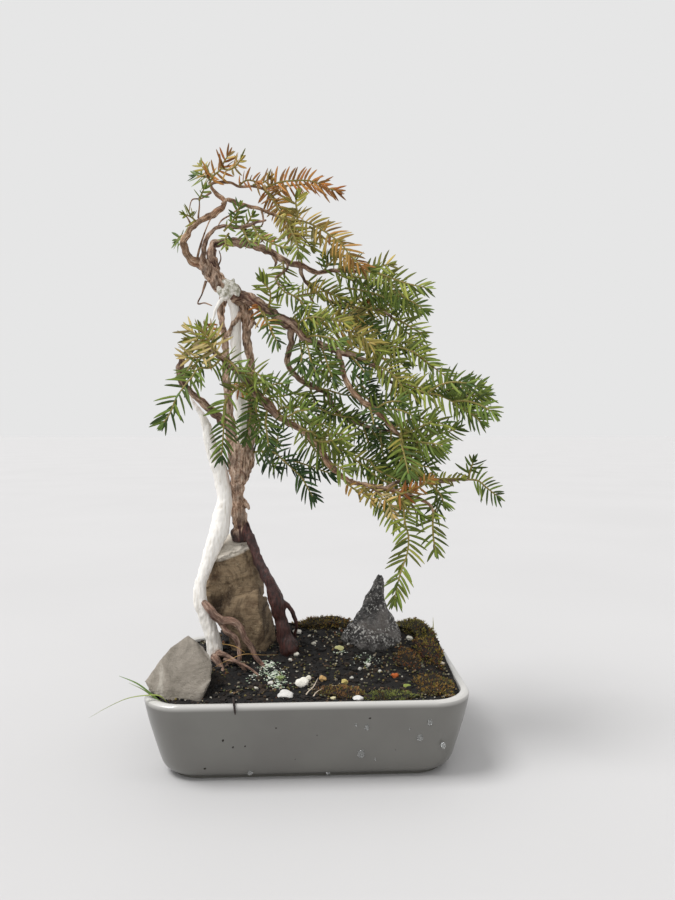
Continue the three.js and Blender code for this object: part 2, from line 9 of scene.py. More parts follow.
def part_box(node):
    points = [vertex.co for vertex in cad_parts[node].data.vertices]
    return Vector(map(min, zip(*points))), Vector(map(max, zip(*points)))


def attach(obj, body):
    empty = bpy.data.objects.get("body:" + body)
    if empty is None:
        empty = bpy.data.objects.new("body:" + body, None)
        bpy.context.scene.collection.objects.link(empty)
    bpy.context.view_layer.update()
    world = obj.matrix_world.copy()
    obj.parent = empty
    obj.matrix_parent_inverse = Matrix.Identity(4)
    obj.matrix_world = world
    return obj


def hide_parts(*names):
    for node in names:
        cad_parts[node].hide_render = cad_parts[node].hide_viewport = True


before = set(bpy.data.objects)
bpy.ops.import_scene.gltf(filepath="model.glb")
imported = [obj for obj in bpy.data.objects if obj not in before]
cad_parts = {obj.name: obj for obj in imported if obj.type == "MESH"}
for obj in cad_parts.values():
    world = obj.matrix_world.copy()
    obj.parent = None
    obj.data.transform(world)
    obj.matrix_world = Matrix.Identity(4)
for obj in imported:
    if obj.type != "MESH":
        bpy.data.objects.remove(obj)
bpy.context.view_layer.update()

# The view is level with the tree's middle, straight in front of the pot and half a metre off,
# so the crown is seen from the side and the soil from a little above. Sizes here are metres.
VIEW_FROM = (-0.001, -0.465, 0.2085)
VIEW_DOWN = math.radians(1.42)
VIEW_RIGHT = math.radians(2.6)
VIEW_LENS = 27.24

camera = bpy.data.objects.new("camera", bpy.data.cameras.new("camera"))
camera.location = VIEW_FROM
camera.rotation_euler = (math.pi / 2 - VIEW_DOWN, 0, -VIEW_RIGHT)
camera.data.lens = VIEW_LENS
camera.data.clip_start = 0.01
bpy.context.collection.objects.link(camera)
bpy.context.scene.camera = camera


# The tree stands on a plain pale floor that runs to the horizon. An even pale surround lights
# it, with one very wide soft source from above, to the left and slightly in front.
FLOOR_SIDE = 80
SURROUND = "#e6e6e6"
SUN_FROM = (-0.55, -0.12, 1.0)
SUN_STRENGTH = 2.3
SUN_WIDTH = math.radians(26)


def hex_colour(code):
    """The linear colour, with full alpha, of an sRGB hex code."""
    channels = [int(code[i:i + 2], 16) / 255 for i in (1, 3, 5)]
    return [c / 12.92 if c <= 0.04045 else ((c + 0.055) / 1.055) ** 2.4 for c in channels] + [1.0]


def add_node(tree, kind, inputs, stops=(), **settings):
    """A node with its settings, its inputs and its ramp stops.

    An input is a number, a hex colour, a socket, or a node, which stands for its first output.
    """
    made = tree.nodes.new(kind)
    for name, value in settings.items():
        setattr(made, name, value)
    for socket, value in inputs.items():
        if isinstance(value, bpy.types.Node):
            value = value.outputs[0]
        if isinstance(value, bpy.types.NodeSocket):
            tree.links.new(value, made.inputs[socket])
        else:
            made.inputs[socket].default_value = hex_colour(value) if isinstance(value, str) else value
    for i, (place, code) in enumerate(stops):
        stop = made.color_ramp.elements[i] if i < 2 else made.color_ramp.elements.new(place)
        stop.position = place
        stop.color = hex_colour(code)
    return made


def new_finish(name, **fixed):
    """A material, its tree and its surface shader, with the shader's fixed values set."""
    finish = bpy.data.materials.new(name)
    finish.use_nodes = True
    shader = finish.node_tree.nodes["Principled BSDF"]
    for socket, value in fixed.items():
        wanted = hex_colour(value) if isinstance(value, str) else value
        shader.inputs[socket.replace("_", " ")].default_value = wanted
    return finish, finish.node_tree, shader


def mottled_finish(name, scale, tones, **fixed):
    """A finish whose colour drifts through its tones in soft patches, 1000 / scale mm across."""
    finish, tree, shader = new_finish(name, **fixed)
    place = add_node(tree, "ShaderNodeTexCoord", {}).outputs["Object"]
    patches = add_node(tree, "ShaderNodeTexNoise", {"Vector": place, "Scale": scale})
    tone = add_node(tree, "ShaderNodeValToRGB", {"Fac": patches}, stops=tones)
    tree.links.new(tone.outputs["Color"], shader.inputs["Base Color"])
    return finish


bpy.ops.object.select_all(action="DESELECT")
bpy.ops.mesh.primitive_plane_add(size=FLOOR_SIDE)
floor = bpy.context.object
floor.name = "floor"
# A matt coat: it takes soft shadows and mirrors nothing.
floor.data.materials.append(
    mottled_finish("matt pale floor", 3.0, [(0.3, "#c2c1c1"), (0.7, "#c5c4c4")], Roughness=0.75)
)

world = bpy.data.worlds.new("surround")
world.use_nodes = True
surround = world.node_tree.nodes["Background"]
surround.inputs["Color"].default_value = hex_colour(SURROUND)
surround.inputs["Strength"].default_value = 1.0
bpy.context.scene.world = world

sun = bpy.data.objects.new("soft_sun", bpy.data.lights.new("soft_sun", "SUN"))
sun.data.energy = SUN_STRENGTH
sun.data.angle = SUN_WIDTH
sun.rotation_euler = (-Vector(SUN_FROM)).to_track_quat("-Z", "Y").to_euler()
bpy.context.collection.objects.link(sun)
bpy.context.scene.view_settings.view_transform = "Standard"


# The pot is cast stoneware under a pale grey glaze, with a rounded lip and rounded corners.
# Its wall runs down to a low unglazed foot and inside to a flat floor with two drain holes.
# It stands free on its foot and carries the soil, the stones and the tree.
POT_CORNER = 0.024
CORNER_SEGMENTS = 9
WALL_STEP = 1.6  # millimetres between the rings of the wall
OUTER_WALL = [  # height and inset from the rim, in millimetres
    (0, 15), (2.1, 15), (2.3, 13.6), (3.3, 12), (5.2, 10.4), (9, 8.8), (22, 5.4), (34, 2.5), (43, 0.7),
    (45.6, 0.3), (47.4, 0), (48.9, 0.25), (49.8, 1.1), (50, 2.3),
]
INNER_WALL = [
    (49.8, 3.5), (49.2, 4.5), (47.5, 5.1), (45, 5.5), (36, 6.9), (22, 10.4), (12, 14), (8.4, 16.6),
    (6.6, 19.5), (6, 24),
]
DRAIN_HOLES = (-0.048, 0.048)
DRAIN_RADIUS = 0.006
DRILL_LENGTH = 0.03
LIP_HIGHLIGHT_HEIGHTS = (0.0462, 0.0492)  # heights between which the lip turns pale, a painted highlight for its lit top
GLAZE_ENDS = (0.0022, 0.0028)  # heights between which the bare foot gives way to glaze

pot_low, pot_high = (Vector(corner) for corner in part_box("pot"))
pot_size = pot_high - pot_low


def smooth_through(points, step):
    """Points about step apart on a smooth curve through the given ones, of any number of values."""
    given = np.array(points, float)
    padded = np.vstack([2 * given[0] - given[1], given, 2 * given[-1] - given[-2]])
    found = []
    for a, b, c, d in zip(padded, padded[1:], padded[2:], padded[3:]):
        count = max(1, round(np.linalg.norm((c - b)[:3]) / step))
        for t in np.arange(count) / count:
            found.append(
                0.5 * (2 * b + (c - a) * t + (2 * a - 5 * b + 4 * c - d) * t**2
                       + (3 * b - a - 3 * c + d) * t**3)
            )
    found.append(given[-1])
    return np.array(found)


def close_with_faces_out():
    """Turns every face of the piece in edit mode outwards, and leaves edit mode."""
    bpy.ops.mesh.select_all(action="SELECT")
    bpy.ops.mesh.normals_make_consistent(inside=False)
    bpy.ops.object.mode_set(mode="OBJECT")


bpy.ops.object.select_all(action="DESELECT")
bpy.ops.mesh.primitive_plane_add(size=1)
pot = bpy.context.object
pot.name = "glazed_pot"
bpy.ops.object.mode_set(mode="EDIT")
bpy.ops.mesh.select_all(action="SELECT")
bpy.ops.transform.resize(value=(pot_size.x, pot_size.y, 1))
bpy.ops.mesh.bevel(offset=POT_CORNER, segments=CORNER_SEGMENTS, affect="VERTICES")
rings = [*OUTER_WALL[:3], *smooth_through([*OUTER_WALL[3:], *INNER_WALL], WALL_STEP)]
height, inset = 0.0, 0.0
for i, (next_height, next_inset) in enumerate(rings):
    if i > 0:
        rise = (next_height - height) / 1000
        bpy.ops.mesh.extrude_region_move(TRANSFORM_OT_translate={"value": (0, 0, rise)})
    # An inset in millimetres counts on both sides, so it takes a 500th of that in metres.
    across = (pot_size.x - next_inset / 500) / (pot_size.x - inset / 500)
    along = (pot_size.y - next_inset / 500) / (pot_size.y - inset / 500)
    bpy.ops.transform.resize(value=(across, along, 1), center_override=(0, 0, next_height / 1000))
    height, inset = next_height, next_inset
close_with_faces_out()
for x in DRAIN_HOLES:
    bpy.ops.object.select_all(action="DESELECT")
    bpy.ops.mesh.primitive_cylinder_add(
        vertices=32, radius=DRAIN_RADIUS, depth=DRILL_LENGTH, location=(x, 0, 0)
    )
    drill = bpy.context.object
    bpy.context.view_layer.objects.active = pot
    cut = pot.modifiers.new("drain", "BOOLEAN")
    cut.object = drill
    bpy.ops.object.modifier_apply(modifier="drain")
    bpy.data.objects.remove(drill)
pot.select_set(True)
bpy.ops.object.shade_smooth_by_angle(angle=math.radians(35))

# A dipped glaze with a soft half gloss. It is clouded in patches of 38 mm, ripples every 17 mm
# and stops short of the dull clay foot. Its lip is painted pale: a highlight for the lit top.
glaze, tree, shader = new_finish("pale grey glazed stoneware", Roughness=0.3, Coat_Weight=0.25)
place = add_node(tree, "ShaderNodeTexCoord", {}).outputs["Object"]
cloud = add_node(tree, "ShaderNodeTexNoise", {"Vector": place, "Scale": 26.0, "Detail": 3.0})
body = add_node(tree, "ShaderNodeValToRGB", {"Fac": cloud}, stops=[(0.3, "#696763"), (0.7, "#71706b")])
axes = add_node(tree, "ShaderNodeSeparateXYZ", {"Vector": place})
# Painted highlight: the lip is mixed towards a pale grey where its top catches the light.
lit_lip = add_node(
    tree, "ShaderNodeMapRange",
    {"Value": axes.outputs["Z"], "From Min": LIP_HIGHLIGHT_HEIGHTS[0], "From Max": LIP_HIGHLIGHT_HEIGHTS[1]},
)
painted_lip_highlight = add_node(tree, "ShaderNodeMix", {0: lit_lip, 6: body, 7: "#c3c1bd"}, data_type="RGBA")
bare = add_node(
    tree, "ShaderNodeMapRange",
    {
        "Value": axes.outputs["Z"], "From Min": GLAZE_ENDS[0], "From Max": GLAZE_ENDS[1],
        "To Min": 1.0, "To Max": 0.0,
    },
)
with_foot = add_node(
    tree, "ShaderNodeMix", {0: bare, 6: painted_lip_highlight.outputs[2], 7: "#5d5c56"}, data_type="RGBA"
)
ripple = add_node(tree, "ShaderNodeTexNoise", {"Vector": place, "Scale": 60.0, "Detail": 2.0})
wavy = add_node(tree, "ShaderNodeBump", {"Height": ripple, "Strength": 0.12, "Distance": 0.0006})
tree.links.new(with_foot.outputs[2], shader.inputs["Base Color"])
tree.links.new(wavy.outputs["Normal"], shader.inputs["Normal"])
pot.data.materials.append(glaze)
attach(pot, "root")
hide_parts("pot")


# Squares of black plastic mesh lie over the drain holes and keep the grit in.
# They are cut from a moulded sheet, so each is a flat lattice of thin square strands.
MESH_CELLS = 7
STRAND = 0.0007

# Moulded polythene, dull and scuffed greyer in patches of 2.5 mm.
drain_plastic = mottled_finish(
    "black moulded mesh", 400.0, [(0.35, "#1b1c1d"), (0.7, "#2c2d2e")], Roughness=0.55
)
for name in ("drain_mesh_left", "drain_mesh_right"):
    low, high = (Vector(corner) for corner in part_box(name))
    middle = (low + high) / 2
    bpy.ops.object.select_all(action="DESELECT")
    bpy.ops.mesh.primitive_grid_add(
        x_subdivisions=MESH_CELLS, y_subdivisions=MESH_CELLS, size=high.x - low.x - STRAND, location=middle
    )
    lattice = bpy.context.object
    lattice.name = name + "_lattice"
    bpy.ops.object.transform_apply(location=True)
    strands = lattice.modifiers.new("strands", "WIREFRAME")
    strands.thickness = STRAND
    bpy.ops.object.modifier_apply(modifier="strands")
    lattice.data.materials.append(drain_plastic)
    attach(lattice, "root")
    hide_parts(name)


# The tall stone stands under the trunk: a tan sandstone block with a pale weathered top slab
# that juts over a khaki face. It starts as the plain block and is weathered layer by layer.
LEDGE_POINT = Vector((-0.050, 0.004, 0.1240))  # on the tilted plane under the slab
LEDGE_UP = Vector((-0.33, -0.20, 0.92)).normalized()
LEDGE_BLUR = (-0.0012, 0.0006)  # how far below and above that plane the slab's colour fades in


def share(value):
    """The value, held between 0 and 1."""
    return min(1.0, max(0.0, value))


def lump(x, y, z):
    """Smooth noise between about -1 and 1, which is the same in every run."""
    return noise.noise(Vector((x, y, z)))


def stone_block(node, name, grain, layers, carve=None):
    """A fine copy of a plain block, carved by a function and then pushed in and out by noise.

    The grain is the size of its facets. Each layer is the noise's kind, its size and its depth.
    All are metres.
    """
    block = bpy.data.objects.new(name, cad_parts[node].data.copy())
    block.data.materials.clear()
    bpy.context.collection.objects.link(block)
    bpy.ops.object.select_all(action="DESELECT")
    block.select_set(True)
    bpy.context.view_layer.objects.active = block
    bpy.ops.object.mode_set(mode="EDIT")
    bpy.ops.mesh.select_all(action="SELECT")
    bpy.ops.mesh.remove_doubles(threshold=1e-5)
    bpy.ops.object.mode_set(mode="OBJECT")
    finer = block.modifiers.new("finer", "REMESH")
    finer.mode = "VOXEL"
    finer.voxel_size = grain
    bpy.ops.object.modifier_apply(modifier="finer")
    if carve:
        facing = [v.normal.copy() for v in block.data.vertices]
        for v, normal in zip(block.data.vertices, facing):
            v.co = carve(v.co.copy(), normal)
    for i, (kind, size, depth) in enumerate(layers):
        texture = bpy.data.textures.new(f"{name}_{i}", kind)
        texture.noise_scale = size
        push = block.modifiers.new("push", "DISPLACE")
        push.texture = texture
        push.strength = depth
        bpy.ops.object.modifier_apply(modifier="push")
    bpy.ops.object.shade_smooth_by_angle(angle=math.radians(48))
    return block


def carve_tall(co, normal):
    """The tall stone's ledges and hollows, its bulging sides and its raised top.

    A ledge is how far a point lies past its edge, how deep it is cut and over what run. They
    are the slab's underside, a slanting ridge that stands out, a seam down the right and a low
    step.
    """
    rough = noise.noise(co * 150) + 0.5 * noise.noise(co * 420)
    ledges = (
        ((co - LEDGE_POINT).dot(LEDGE_UP) + 0.0014 * rough, 0.0030, 0.0010),
        (co.z - 0.0935 - 0.75 * (co.x + 0.047) + 0.0022 * rough, -0.0022, 0.0012),
        (-0.0365 - co.x - 0.43 * (co.z - 0.1045) + 0.0018 * rough, 0.0016, 0.0010),
        (co.z - 0.1045 - 0.28 * (co.x + 0.057) + 0.0016 * rough, 0.0012, 0.0008),
    )
    if normal.y < 0.3:
        for away, depth, run in ledges:
            if away < 0:
                co.y += depth * min(1.0, -away / run)
        co.y += 0.0030 * max(0.0, lump(co.x * 60, co.z * 45, 2.0)) - 0.0006
    if normal.x > 0.2:
        co.x += 0.0020 * share(1 - abs(co.z - 0.101) / 0.013)
        co.x -= 0.0018 * share(1 - abs(co.z - 0.084) / 0.010)
    if normal.x < -0.2:
        co.x -= 0.0066 * share(1.7 - abs(co.z - 0.0875) / 0.010)
    co.z += 0.0042 * share((co.z - 0.100) / 0.030)
    return co


def stone_finish(name, shades, crack, spots, chips):
    """Split rock, quite matt, so that its relief shows more than its gloss.

    Stains 26 mm wide run through the shades. Cracks along the tilted bedding, 42 mm apart, have
    a colour and a strength. Spots have a colour, a strength, a scale and the noise level where
    they start. Chips 12 mm long stand out by a bump of that strength, and grit of 2.4 mm by a
    finer one, which is coarser than the real grain so that it shows.
    """
    crack_colour, crack_strength = crack
    spot_colour, spot_strength, spot_scale, spot_level = spots
    finish, tree, shader = new_finish(name, Roughness=0.85)
    place = add_node(tree, "ShaderNodeTexCoord", {}).outputs["Object"]
    stain = add_node(
        tree, "ShaderNodeTexNoise",
        {"Vector": place, "Scale": 38.0, "Detail": 9.0, "Roughness": 0.68, "Distortion": 0.8},
    )
    base = add_node(tree, "ShaderNodeValToRGB", {"Fac": stain}, stops=shades)
    bedding = add_node(
        tree, "ShaderNodeMapping",
        {"Vector": place, "Rotation": (0.35, -0.45, 0.2), "Scale": (1.0, 1.0, 3.4)},
    )
    split = add_node(
        tree, "ShaderNodeTexNoise", {"Vector": bedding, "Scale": 24.0, "Detail": 4.0, "Roughness": 0.5}
    )
    offset = add_node(tree, "ShaderNodeMath", {0: split, 1: 0.5}, operation="SUBTRACT")
    away = add_node(tree, "ShaderNodeMath", {0: offset}, operation="ABSOLUTE")
    line = add_node(
        tree, "ShaderNodeMapRange",
        {"Value": away, "From Min": 0.0, "From Max": 0.008, "To Min": crack_strength, "To Max": 0.0},
    )
    cracked = add_node(tree, "ShaderNodeMix", {0: line, 6: base, 7: crack_colour}, data_type="RGBA")
    grit = add_node(
        tree, "ShaderNodeTexNoise",
        {"Vector": place, "Scale": spot_scale, "Detail": 3.0, "Roughness": 0.7},
    )
    dots = add_node(
        tree, "ShaderNodeMapRange",
        {"Value": grit, "From Min": spot_level, "From Max": spot_level + 0.06, "To Max": spot_strength},
    )
    drift = add_node(
        tree, "ShaderNodeMapRange",
        {"Value": split, "From Min": 0.4, "From Max": 0.54, "To Min": 0.15, "To Max": 1.0},
    )
    dusted = add_node(tree, "ShaderNodeMath", {0: dots, 1: drift}, operation="MULTIPLY")
    spotted = add_node(
        tree, "ShaderNodeMix", {0: dusted, 6: cracked.outputs[2], 7: spot_colour}, data_type="RGBA"
    )
    flake = add_node(
        tree, "ShaderNodeTexNoise", {"Vector": bedding, "Scale": 85.0, "Detail": 6.0, "Roughness": 0.65}
    )
    chipped = add_node(tree, "ShaderNodeBump", {"Height": flake, "Strength": chips, "Distance": 0.0040})
    coarse = add_node(
        tree, "ShaderNodeTexNoise", {"Vector": place, "Scale": 420.0, "Detail": 8.0, "Roughness": 0.72}
    )
    grooved = add_node(tree, "ShaderNodeMath", {0: coarse, 1: line}, operation="SUBTRACT")
    relief = add_node(
        tree, "ShaderNodeBump",
        {"Height": grooved, "Strength": 0.8, "Distance": 0.0010, "Normal": chipped},
    )
    tree.links.new(spotted.outputs[2], shader.inputs["Base Color"])
    tree.links.new(relief.outputs["Normal"], shader.inputs["Normal"])
    return finish, tree, shader, spotted


tall_stone = stone_block(
    "tall_stone", "weathered_tall_stone", 0.0008,
    [("CLOUDS", 0.021, 0.0016), ("CLOUDS", 0.0065, 0.0008), ("CLOUDS", 0.0022, 0.0006)], carve_tall,
)
# Tan sandstone with a weathered, almost white slab. Wavering brown lines 4.5 mm apart show
# its layers.
sandstone, tree, shader, coloured = stone_finish(
    "tan sandstone",
    [(0.32, "#291c12"), (0.43, "#53422f"), (0.54, "#8f7b60"), (0.66, "#5a4631"), (0.8, "#3f2e1f")],
    ("#33251a", 0.36), ("#b8aa8e", 0.5, 800.0, 0.6), 0.45,
)
place = add_node(tree, "ShaderNodeTexCoord", {}).outputs["Object"]
level = add_node(tree, "ShaderNodeVectorMath", {0: place, 1: tuple(LEDGE_UP)}, operation="DOT_PRODUCT")
ledge_level = LEDGE_POINT.dot(LEDGE_UP)
slab = add_node(
    tree, "ShaderNodeMapRange",
    {
        "Value": level.outputs["Value"], "From Min": ledge_level + LEDGE_BLUR[0],
        "From Max": ledge_level + LEDGE_BLUR[1],
    },
)
pale_top = add_node(
    tree, "ShaderNodeMix", {0: slab, 6: coloured.outputs[2], 7: "#d2cabd"}, data_type="RGBA"
)
contour = add_node(
    tree, "ShaderNodeTexWave",
    {"Vector": place, "Scale": 70.0, "Distortion": 9.0, "Detail": 3.0, "Detail Scale": 1.2},
    bands_direction="Z",
)
edge_line = add_node(
    tree, "ShaderNodeMapRange",
    {"Value": contour.outputs["Fac"], "From Min": 0.0, "From Max": 0.16, "To Min": 0.22, "To Max": 0.0},
)
layered = add_node(
    tree, "ShaderNodeMix", {0: edge_line, 6: pale_top.outputs[2], 7: "#5c5040"}, data_type="RGBA"
)
tree.links.new(layered.outputs[2], shader.inputs["Base Color"])
tall_stone.data.materials.append(sandstone)
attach(tall_stone, "root")
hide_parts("tall_stone")


# The grey stone lies at the front left corner: a smooth-faced wedge of pale warm limestone,
# with one straight ridge and faint white veins where it was split.
grey_stone = stone_block(
    "grey_stone", "split_grey_stone", 0.0010,
    [("CLOUDS", 0.02, 0.0012), ("VORONOI", 0.012, 0.0008), ("CLOUDS", 0.004, 0.0006)],
)
# Warm grey limestone: calm clouded tones, hardly any crack and a faint pale bloom.
limestone = stone_finish(
    "warm grey limestone", [(0.3, "#6f685d"), (0.47, "#928a7f"), (0.58, "#b0a99e"), (0.78, "#7f766a")],
    ("#5d5546", 0.14), ("#d0cabf", 0.5, 1100.0, 0.62), 0.4,
)[0]
grey_stone.data.materials.append(limestone)
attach(grey_stone, "root")
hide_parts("grey_stone")


# The dark stone stands on the right like a small peak: charcoal slate with a rough, pitted
# surface that is sprinkled with pale crystals and lichen dust.
def carve_dark(co, normal):
    """Sharp upright ridges, which run down the slate from its peak, and a slimmer upper half.

    The ridges are 11 mm apart and 4.6 mm deep, with finer ones 3 mm apart between them.
    """
    fold = abs(lump(co.x * 95 + co.z * 30, co.y * 95, co.z * 18))
    fine = abs(lump(co.x * 300, co.y * 300, co.z * 70))
    slim = 1 - 0.22 * share((co.z - 0.078) / 0.016)
    middle = 0.0505 + 0.2 * (co.z - 0.095)
    co.x = middle + (co.x - middle) * slim
    return co + normal * (0.0010 - 0.0046 * fold - 0.0012 * fine)


dark_stone = stone_block(
    "dark_stone", "peaked_dark_stone", 0.0009,
    [("CLOUDS", 0.010, 0.0014), ("CLOUDS", 0.004, 0.0009), ("CLOUDS", 0.0018, 0.0008)], carve_dark,
)
# Charcoal slate: nearly black in its cracks, deeply chipped and thick with pale crystals.
slate = stone_finish(
    "charcoal slate", [(0.32, "#1f1e1e"), (0.46, "#434140"), (0.56, "#716d6a"), (0.72, "#4d443d")],
    ("#151414", 0.5), ("#dedcd7", 0.9, 560.0, 0.545), 0.9,
)[0]
dark_stone.data.materials.append(slate)
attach(dark_stone, "root")
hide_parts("dark_stone")


# The living trunk is flaky yew bark: grey-brown plates over red-brown under-bark. It has a
# waist above the stone, two strands round the dead heart, and a smooth red root on the right.
TRUNK = [  # each strand by points of x, y, z and radius, in millimetres
    [  # the waist
        (-47, 16, 133, 6.6), (-48, 16, 146, 5.4), (-49, 15, 157, 4.8), (-49, 14, 168, 4.7),
        (-48, 13, 177, 5.8), (-48, 13, 188, 7.2), (-48, 13, 198, 8.0), (-48, 13, 207, 7.2),
    ],
    [  # the left strand
        (-52, 12, 199, 4.6), (-54, 11, 214, 3.7), (-55, 11, 228, 3.1), (-56, 11, 245, 2.6),
        (-57, 11, 265, 2.2), (-58, 11, 278, 2.1), (-60, 11, 292, 2.3), (-57, 11, 305, 3.4),
    ],
    [  # the right strand
        (-43, 13, 195, 5.0), (-40, 14, 214, 4.0), (-39, 14, 235, 3.2), (-40, 14, 256, 2.7),
        (-42, 14, 270, 2.8), (-43, 13, 286, 3.0), (-45, 12, 297, 3.6), (-50, 11, 305, 4.4),
    ],
    [  # the piece that leans left
        (-47, 11, 301, 4.8), (-53, 11, 307, 6.2), (-59, 11, 310, 5.7), (-65, 10, 316, 5.1),
        (-71, 10, 323, 4.4), (-76, 9, 327, 3.4),
    ],
    [(-46, 9, 291, 1.7), (-51, 7, 283, 1.5), (-56, 9, 275, 1.7)],
    [  # the root down the stone's right
        (-45, 15, 145, 3.4), (-42.5, 12, 139, 3.2), (-40, 10, 134, 3.1), (-37, 8, 127, 3.2),
        (-34, 5, 120, 3.5), (-31, 3, 115, 3.7), (-28, 1, 109, 4.0), (-25.5, 0, 104, 4.2),
        (-23.3, 0, 98, 4.4), (-21.6, 0, 92, 4.5), (-20, 1, 86, 4.5), (-18.7, 2, 81, 4.6),
        (-17.4, 2, 75, 4.9), (-15.8, 2, 69, 5.4), (-14.3, 1, 63, 5.8), (-12.5, 0, 56, 5.4),
        (-11, -2, 48, 3.8),
    ],
    [  # its side root
        (-21, 1, 94, 2.0), (-16, 1, 92, 1.6), (-12, 2, 87, 1.5), (-9.5, 4, 81, 1.4), (-8, 6, 75, 1.3),
        (-9, 8, 69, 1.2), (-11, 9, 60, 1.0),
    ],
    [(-41, 11, 292, 2.0), (-38, 8, 285, 1.6), (-41, 7, 279, 0.9)],
    [(-44, 13, 204, 4.6), (-42, 13, 195, 4.6), (-42.5, 13, 187, 3.6), (-45, 13, 180, 3.0)],
    [(-46, 14, 160, 3.0), (-42, 12, 157, 1.6), (-40.5, 11, 155, 0.7)],
]


def tube(route, step, sides, relief, seed):
    """Points, faces and grain coordinates of a closed limb along a route, in metres.

    The route and the step are millimetres. The radius follows the route, and knots 11 mm apart,
    flutes 22 mm long and cracks 7 mm long, as strong as the relief says, vary it.
    """
    line = smooth_through(route, step)
    centre, radius = line[:, :3] / 1000, line[:, 3] / 1000
    taper = [(0, 1), *[(i, 1) for i in range(1, len(line) - 1)], (len(line) - 1, 0.75)]
    tangent = np.gradient(centre, axis=0)
    tangent /= np.linalg.norm(tangent, axis=1)[:, None]
    out = np.cross(tangent[0], (0.3, 0.9, 0.2))
    along = 0.0
    points, grain = [], []
    for i in range(1, len(line) - 1):
        drift = [lump(i * step / 5, seed, 0.5 + 9.3 * k) for k in range(3)]
        centre[i] += np.array(drift) * radius[i] * 1.5 * relief
    for i, size in taper:
        size *= 1 + 1.5 * relief * max(0.0, lump(seed, 7.7, along * 95) - 0.05)
        size *= 1 + 0.7 * relief * lump(seed, 2.2, along * 260)
        out = out - tangent[i] * out.dot(tangent[i])
        out /= np.linalg.norm(out)
        beside = np.cross(tangent[i], out)
        along += np.linalg.norm(centre[i] - centre[i - 1]) if i else 0.0
        for k in range(sides):
            turn = 2 * math.pi * k / sides
            c, s = math.cos(turn), math.sin(turn)
            flute = lump(1.7 * c + seed, 1.7 * s, along * 45)
            crack = lump(4.1 * c, 4.1 * s + seed, along * 150)
            r = radius[i] * size * (1 + relief * (0.9 * flute + 0.7 * crack))
            points.append(centre[i] + r * (c * out + s * beside))
            grain.append((c * radius[i], s * radius[i], along))
    points += [
        centre[0] - tangent[0] * radius[0] * 0.4, centre[-1] + tangent[-1] * radius[-1] * 0.6,
    ]
    grain += [(0, 0, 0), (0, 0, along)]
    rings, faces = len(taper), []
    for i in range(rings - 1):
        for k in range(sides):
            a, b = i * sides + k, i * sides + (k + 1) % sides
            faces.append((a, b, b + sides, a + sides))
    first, last = rings * sides, rings * sides + 1
    for k in range(sides):
        faces.append((first, (k + 1) % sides, k))
        faces.append((last, (rings - 1) * sides + k, (rings - 1) * sides + (k + 1) % sides))
    return points, faces, grain


def new_piece(name, points, faces, finish):
    """An object of its own from points and faces, selected and active."""
    mesh = bpy.data.meshes.new(name)
    mesh.from_pydata([tuple(p) for p in points], [], faces)
    piece = bpy.data.objects.new(name, mesh)
    bpy.context.collection.objects.link(piece)
    mesh.materials.append(finish)
    bpy.ops.object.select_all(action="DESELECT")
    piece.select_set(True)
    bpy.context.view_layer.objects.active = piece
    return piece


def carry(piece, name, values, kind="FLOAT_COLOR"):
    """Gives a piece an attribute with one value for each point, for its finish to read."""
    field = {"FLOAT": "value", "FLOAT_VECTOR": "vector", "FLOAT_COLOR": "color"}[kind]
    made = piece.data.attributes.new(name, kind, "POINT")
    made.data.foreach_set(field, np.array(values, float).ravel())


def grow_wood(name, routes, finish, relief=0.16, step=1.3, sides=14, fuse=None, tone=None):
    """One piece of wood from several limbs, which fuse melts into one skin of that voxel size.

    A fused skin gets ridges and flakes 2 mm wide and up to 0.9 mm high. The tone is a function
    that gives how much under-bark shows at a point.
    """
    points, faces, grain = [], [], []
    for n, route in enumerate(routes):
        more, sides_of, lengthwise = tube(route, step, sides, relief, 3.1 * n)
        faces += [tuple(i + len(points) for i in face) for face in sides_of]
        points += more
        grain += lengthwise
    piece = new_piece(name, points, faces, finish)
    if fuse:
        melt = piece.modifiers.new("melt", "REMESH")
        melt.mode = "VOXEL"
        melt.voxel_size = fuse
        bpy.ops.object.modifier_apply(modifier="melt")
        ease = piece.modifiers.new("ease", "SMOOTH")
        ease.iterations = 3
        bpy.ops.object.modifier_apply(modifier="ease")
        facing = [v.normal.copy() for v in piece.data.vertices]
        for v, normal in zip(piece.data.vertices, facing):
            ridge = lump(v.co.x * 520, v.co.y * 520, v.co.z * 60)
            flake = lump(v.co.x * 640, v.co.y * 640, v.co.z * 300)
            rough = 1.15 - 1.3 * tone(v.co) if tone else 1.0
            v.co += normal * (0.0009 * ridge + 0.0009 * flake) * rough * relief / 0.16
        grain = [tuple(v.co) for v in piece.data.vertices]
    carry(piece, "grain", grain, "FLOAT_VECTOR")
    carry(piece, "under_bark", [tone(v.co) if tone else 0.25 for v in piece.data.vertices], "FLOAT")
    bpy.ops.object.shade_smooth()
    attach(piece, "root")
    return piece


